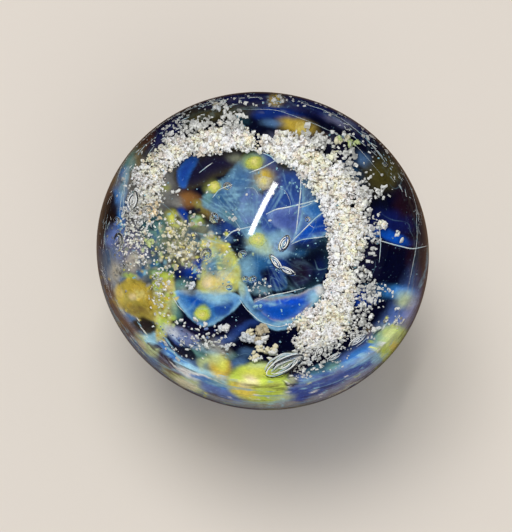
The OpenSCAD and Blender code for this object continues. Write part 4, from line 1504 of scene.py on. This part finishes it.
def drawn(rows):
    """Threads over the places of these rows, as points and thicknesses."""
    runs = []
    for height, thickness, places in rows:
        marks = np.arange(len(places))
        fine = np.linspace(0, marks[-1], FINE_POINTS * len(places))
        path = [smooth_run(np.interp(fine, marks, line)) for line in zip(*places, strict=True)]
        runs.append((on_dish(np.stack(path, 1), height), thickness))
    return runs


def rim_glints(rng):
    """Painted glints: short bright threads near the rim, lying the way the rim runs."""
    runs = []
    for first, last, near, far, count in RIM_GLINTS:
        for _ in range(count):
            turn = math.radians(rng.uniform(first, last))
            length = math.radians(0.6 + 3.4 * rng.random() ** 2)
            reach = rng.uniform(near, far)
            drift = rng.uniform(-0.01, 0.01)
            turns = np.linspace(turn, turn + length, GLINT_POINTS)
            places = along_outline(turns, np.linspace(reach, reach + drift, GLINT_POINTS))
            runs.append((on_dish(places, rng.uniform(0.0003, 0.0015)), rng.uniform(1.2e-5, 3e-5)))
    return runs


def bubble_rings(arcs):
    """Painted highlights and painted shade: arcs of thread round the long bubbles, where their skin would
    catch the light or turn dark.
    """
    runs = []
    for right, up, height, radius, stretch, turn in BUBBLES:
        if stretch < LONG_BUBBLE:
            continue
        lean = math.radians(turn)
        for share, first, last in arcs:
            turns = np.radians(np.linspace(first, last, ARC_POINTS))
            along = share * radius / BALL_R * stretch * np.cos(turns)
            across = share * radius / BALL_R / stretch**0.5 * np.sin(turns)
            rights = right + along * math.cos(lean) - across * math.sin(lean)
            ups = up + along * math.sin(lean) + across * math.cos(lean)
            thickness = RING_THICKNESS[0] + RING_THICKNESS[1] * radius
            runs.append((on_dish(np.stack([rights, ups], 1), height + RING_LIFT), thickness))
    return runs


def threads():
    """Fine light and smoky threads drawn through the clear glass, painted glints and reflections near the
    rim, and painted highlight and shade arcs round the bubbles.
    """
    # The pale threads carry the rim's painted glints and painted reflections as well
    pale_and_glint_runs = drawn(THREADS_AND_RIM_REFLECTIONS) + rim_glints(random.Random(53))
    thread_curve("pale_threads_and_painted_glints", plain_glass("pale_glass_and_painted_glints", "frost", "ice"), pale_and_glint_runs)
    # Bright arcs round the bubbles are painted highlights, in glass with a painted glow
    painted_glow = plain_glass("bubble_painted_highlight", "frost", "pearl", painted_glow=0.25)
    thread_curve("bubble_painted_highlight", painted_glow, bubble_rings(HIGHLIGHT_ARCS))
    # Dark arcs round the bubbles are painted shade, drawn with the smoky threads
    smoky_and_shade_runs = drawn(SMOKY_THREADS) + bubble_rings(SHADE_ARCS)
    thread_curve("smoky_threads_and_shade_arcs", plain_glass("smoky_glass_and_shade_arcs", "bark", "ink"), smoky_and_shade_runs)


def bubbles():
    """Air bubbles, some drawn out long."""
    bm = bmesh.new()
    for right, up, height, radius, stretch, turn in BUBBLES:
        at = Vector(on_dish([(right, up)], height)[0])
        lean = math.radians(turn)
        long_way = Vector(RIGHT * math.cos(lean) + UP * math.sin(lean))
        cross_way = Vector(TOWARD_EYE).cross(long_way)
        axes = Matrix((long_way, cross_way, Vector(TOWARD_EYE))).transposed().to_4x4()
        thin = radius / stretch**0.5
        size = Matrix.Diagonal((radius * stretch, thin, thin, 1))
        place = Matrix.Translation(at) @ axes @ size
        bmesh.ops.create_icosphere(bm, subdivisions=4, radius=1, matrix=place)
    piece = to_piece(bm, "air_bubbles", bubble_glass())


# ---------------------------------------------------------------- the clear casing

CASING_SPOKES = 384
CASING_RINGS = 192


def ball_point(around, share):
    """A point on the ball's surface."""
    return round_axis(BALL_HALF, math.sin(share * math.pi), around, math.cos(share * math.pi))


def clear_casing():
    """The whole ball of clear glass, round everything else."""
    shell = round_shell(CASING_SPOKES, CASING_RINGS, ball_point)
    piece = to_piece(shell, "clear_glass_ball", casing_glass())
    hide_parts("clear_casing")


# ---------------------------------------------------------------- studio

# Ends of the white bar that the dome mirrors, and of the glow round it, in ball radii
BAR = ((0.078, 0.398), (-0.074, 0.094))
GLOW = ((0.081, 0.405), (-0.077, 0.087))
FLOOR_HALF = 1.5
# Height of the framed view, and how far its middle is left of and below the ball's, in ball radii
FRAME_HEIGHT = 3.195
FRAME_ASIDE, FRAME_BELOW = 0.039, 0.090


def mirrored(right, up):
    """Direction in which the ball's surface mirrors the eye's line of sight at a place."""
    point = enter_glass([(right, up)])[0][0]
    way, normal = unit(point - EYE), unit(point / BALL_HALF**2)
    return Vector(way - 2 * np.dot(way, normal) * normal)


def area_lamp(name, at, sides, power, along=(1, 0, 0), in_gloss=True):
    """A rectangular lamp aimed at the ball, its first side lying along a direction."""
    data = bpy.data.lights.new(name, "AREA")
    data.shape = "RECTANGLE"
    data.size, data.size_y = sides
    data.energy = power
    lamp = place_in_scene(name, data)
    back = Vector(at).normalized()
    side = Vector(along)
    side = (side - side.dot(back) * back).normalized()
    turn = Matrix((side, back.cross(side), back)).transposed()
    lamp.matrix_world = Matrix.Translation(at) @ turn.to_4x4()
    lamp.visible_glossy = in_gloss
    lamp.visible_camera = False


def unless_mirrored(tree, seen, mirrored_one):
    """One shader for the eye and another in reflections."""
    glossy = tree.nodes.new("ShaderNodeLightPath").outputs["Is Glossy Ray"]
    return add(tree, "ShaderNodeMixShader", glossy, seen.outputs[0], mirrored_one.outputs[0])


def floor():
    """A wide pale floor under the ball, dimmer in reflections than it is."""
    bm = bmesh.new()
    bmesh.ops.create_grid(bm, x_segments=1, y_segments=1, size=FLOOR_HALF)
    for vert in bm.verts:
        vert.co.z = CAD_BOX[0].z
    ground = place_in_scene("floor", to_mesh(bm, "floor"))
    material, tree = new_material("pale_floor")
    away = add(tree, "ShaderNodeVectorMath", on_piece(tree), operation="LENGTH").outputs["Value"]
    tones = add(tree, "ShaderNodeValToRGB", ranged(tree, away, 0.028, 0.045, 0.0, 1.0))
    tones.color_ramp.elements[0].color = (0.10, 0.06, 0.035, 1)
    tones.color_ramp.elements[1].color = (0.008, 0.006, 0.005, 1)
    pale = add(tree, "ShaderNodeBsdfDiffuse", Color=(0.66, 0.60, 0.53, 1))
    dim = add(tree, "ShaderNodeBsdfDiffuse", Color=tones.outputs["Color"])
    show(tree, unless_mirrored(tree, pale, dim))
    ground.data.materials.append(material)


def surroundings():
    """A pale room that glass mirrors only faintly."""
    world = bpy.data.worlds.new("studio")
    bpy.context.scene.world = world
    world.use_nodes = True
    tree = world.node_tree
    tree.nodes.clear()
    room, faint = (
        add(tree, "ShaderNodeBackground", Color=(0.93, 0.95, 1.0, 1), Strength=strength)
        for strength in (0.45, 0.014)
    )
    add(tree, "ShaderNodeOutputWorld", Surface=unless_mirrored(tree, room, faint).outputs[0])


def mirror_lamp(name, start, end, width, power, reach=0.5):
    """A tube placed so that the glass mirrors it as a line between two places."""
    first, last = mirrored(*start), mirrored(*end)
    middle = (first + last) / 2
    length = (first - last).length * reach / middle.length
    area_lamp(name, middle.normalized() * reach, (length, width), power, along=first - last)


def lamps():
    """A tube and its glow, which the dome mirrors as a white bar, and two soft lamps."""
    mirror_lamp("tube", *BAR, 0.025, 0.167)
    mirror_lamp("tube_glow", *GLOW, 0.036, 0.08, reach=0.52)
    area_lamp("soft_top", (-0.15, 0.1, 0.5), (0.35, 0.35), 1.75, in_gloss=False)
    area_lamp("soft_front", (0.25, -0.45, 0.35), (0.3, 0.3), 1.05, in_gloss=False)


def eye_camera():
    """The camera, framed so that the ball sits a little right of and above the middle."""
    data = bpy.data.cameras.new("eye")
    data.sensor_width = 36
    data.lens = data.sensor_width * EYE_DISTANCE / (FRAME_HEIGHT * BALL_R)
    data.clip_start = 0.01
    data.clip_end = 10
    eye = place_in_scene("eye", data)
    eye.location = Vector(EYE - (FRAME_ASIDE * RIGHT + FRAME_BELOW * UP) * BALL_R)
    eye.rotation_euler = Matrix((RIGHT, UP, TOWARD_EYE)).transposed().to_euler()
    bpy.context.scene.camera = eye


cobalt_bowl()
grain_band()
loose_grains()
beads()
frit_spots()
threads()
bubbles()
clear_casing()
floor()
surroundings()
lamps()
eye_camera()
bpy.context.scene.view_settings.view_transform = "Standard"
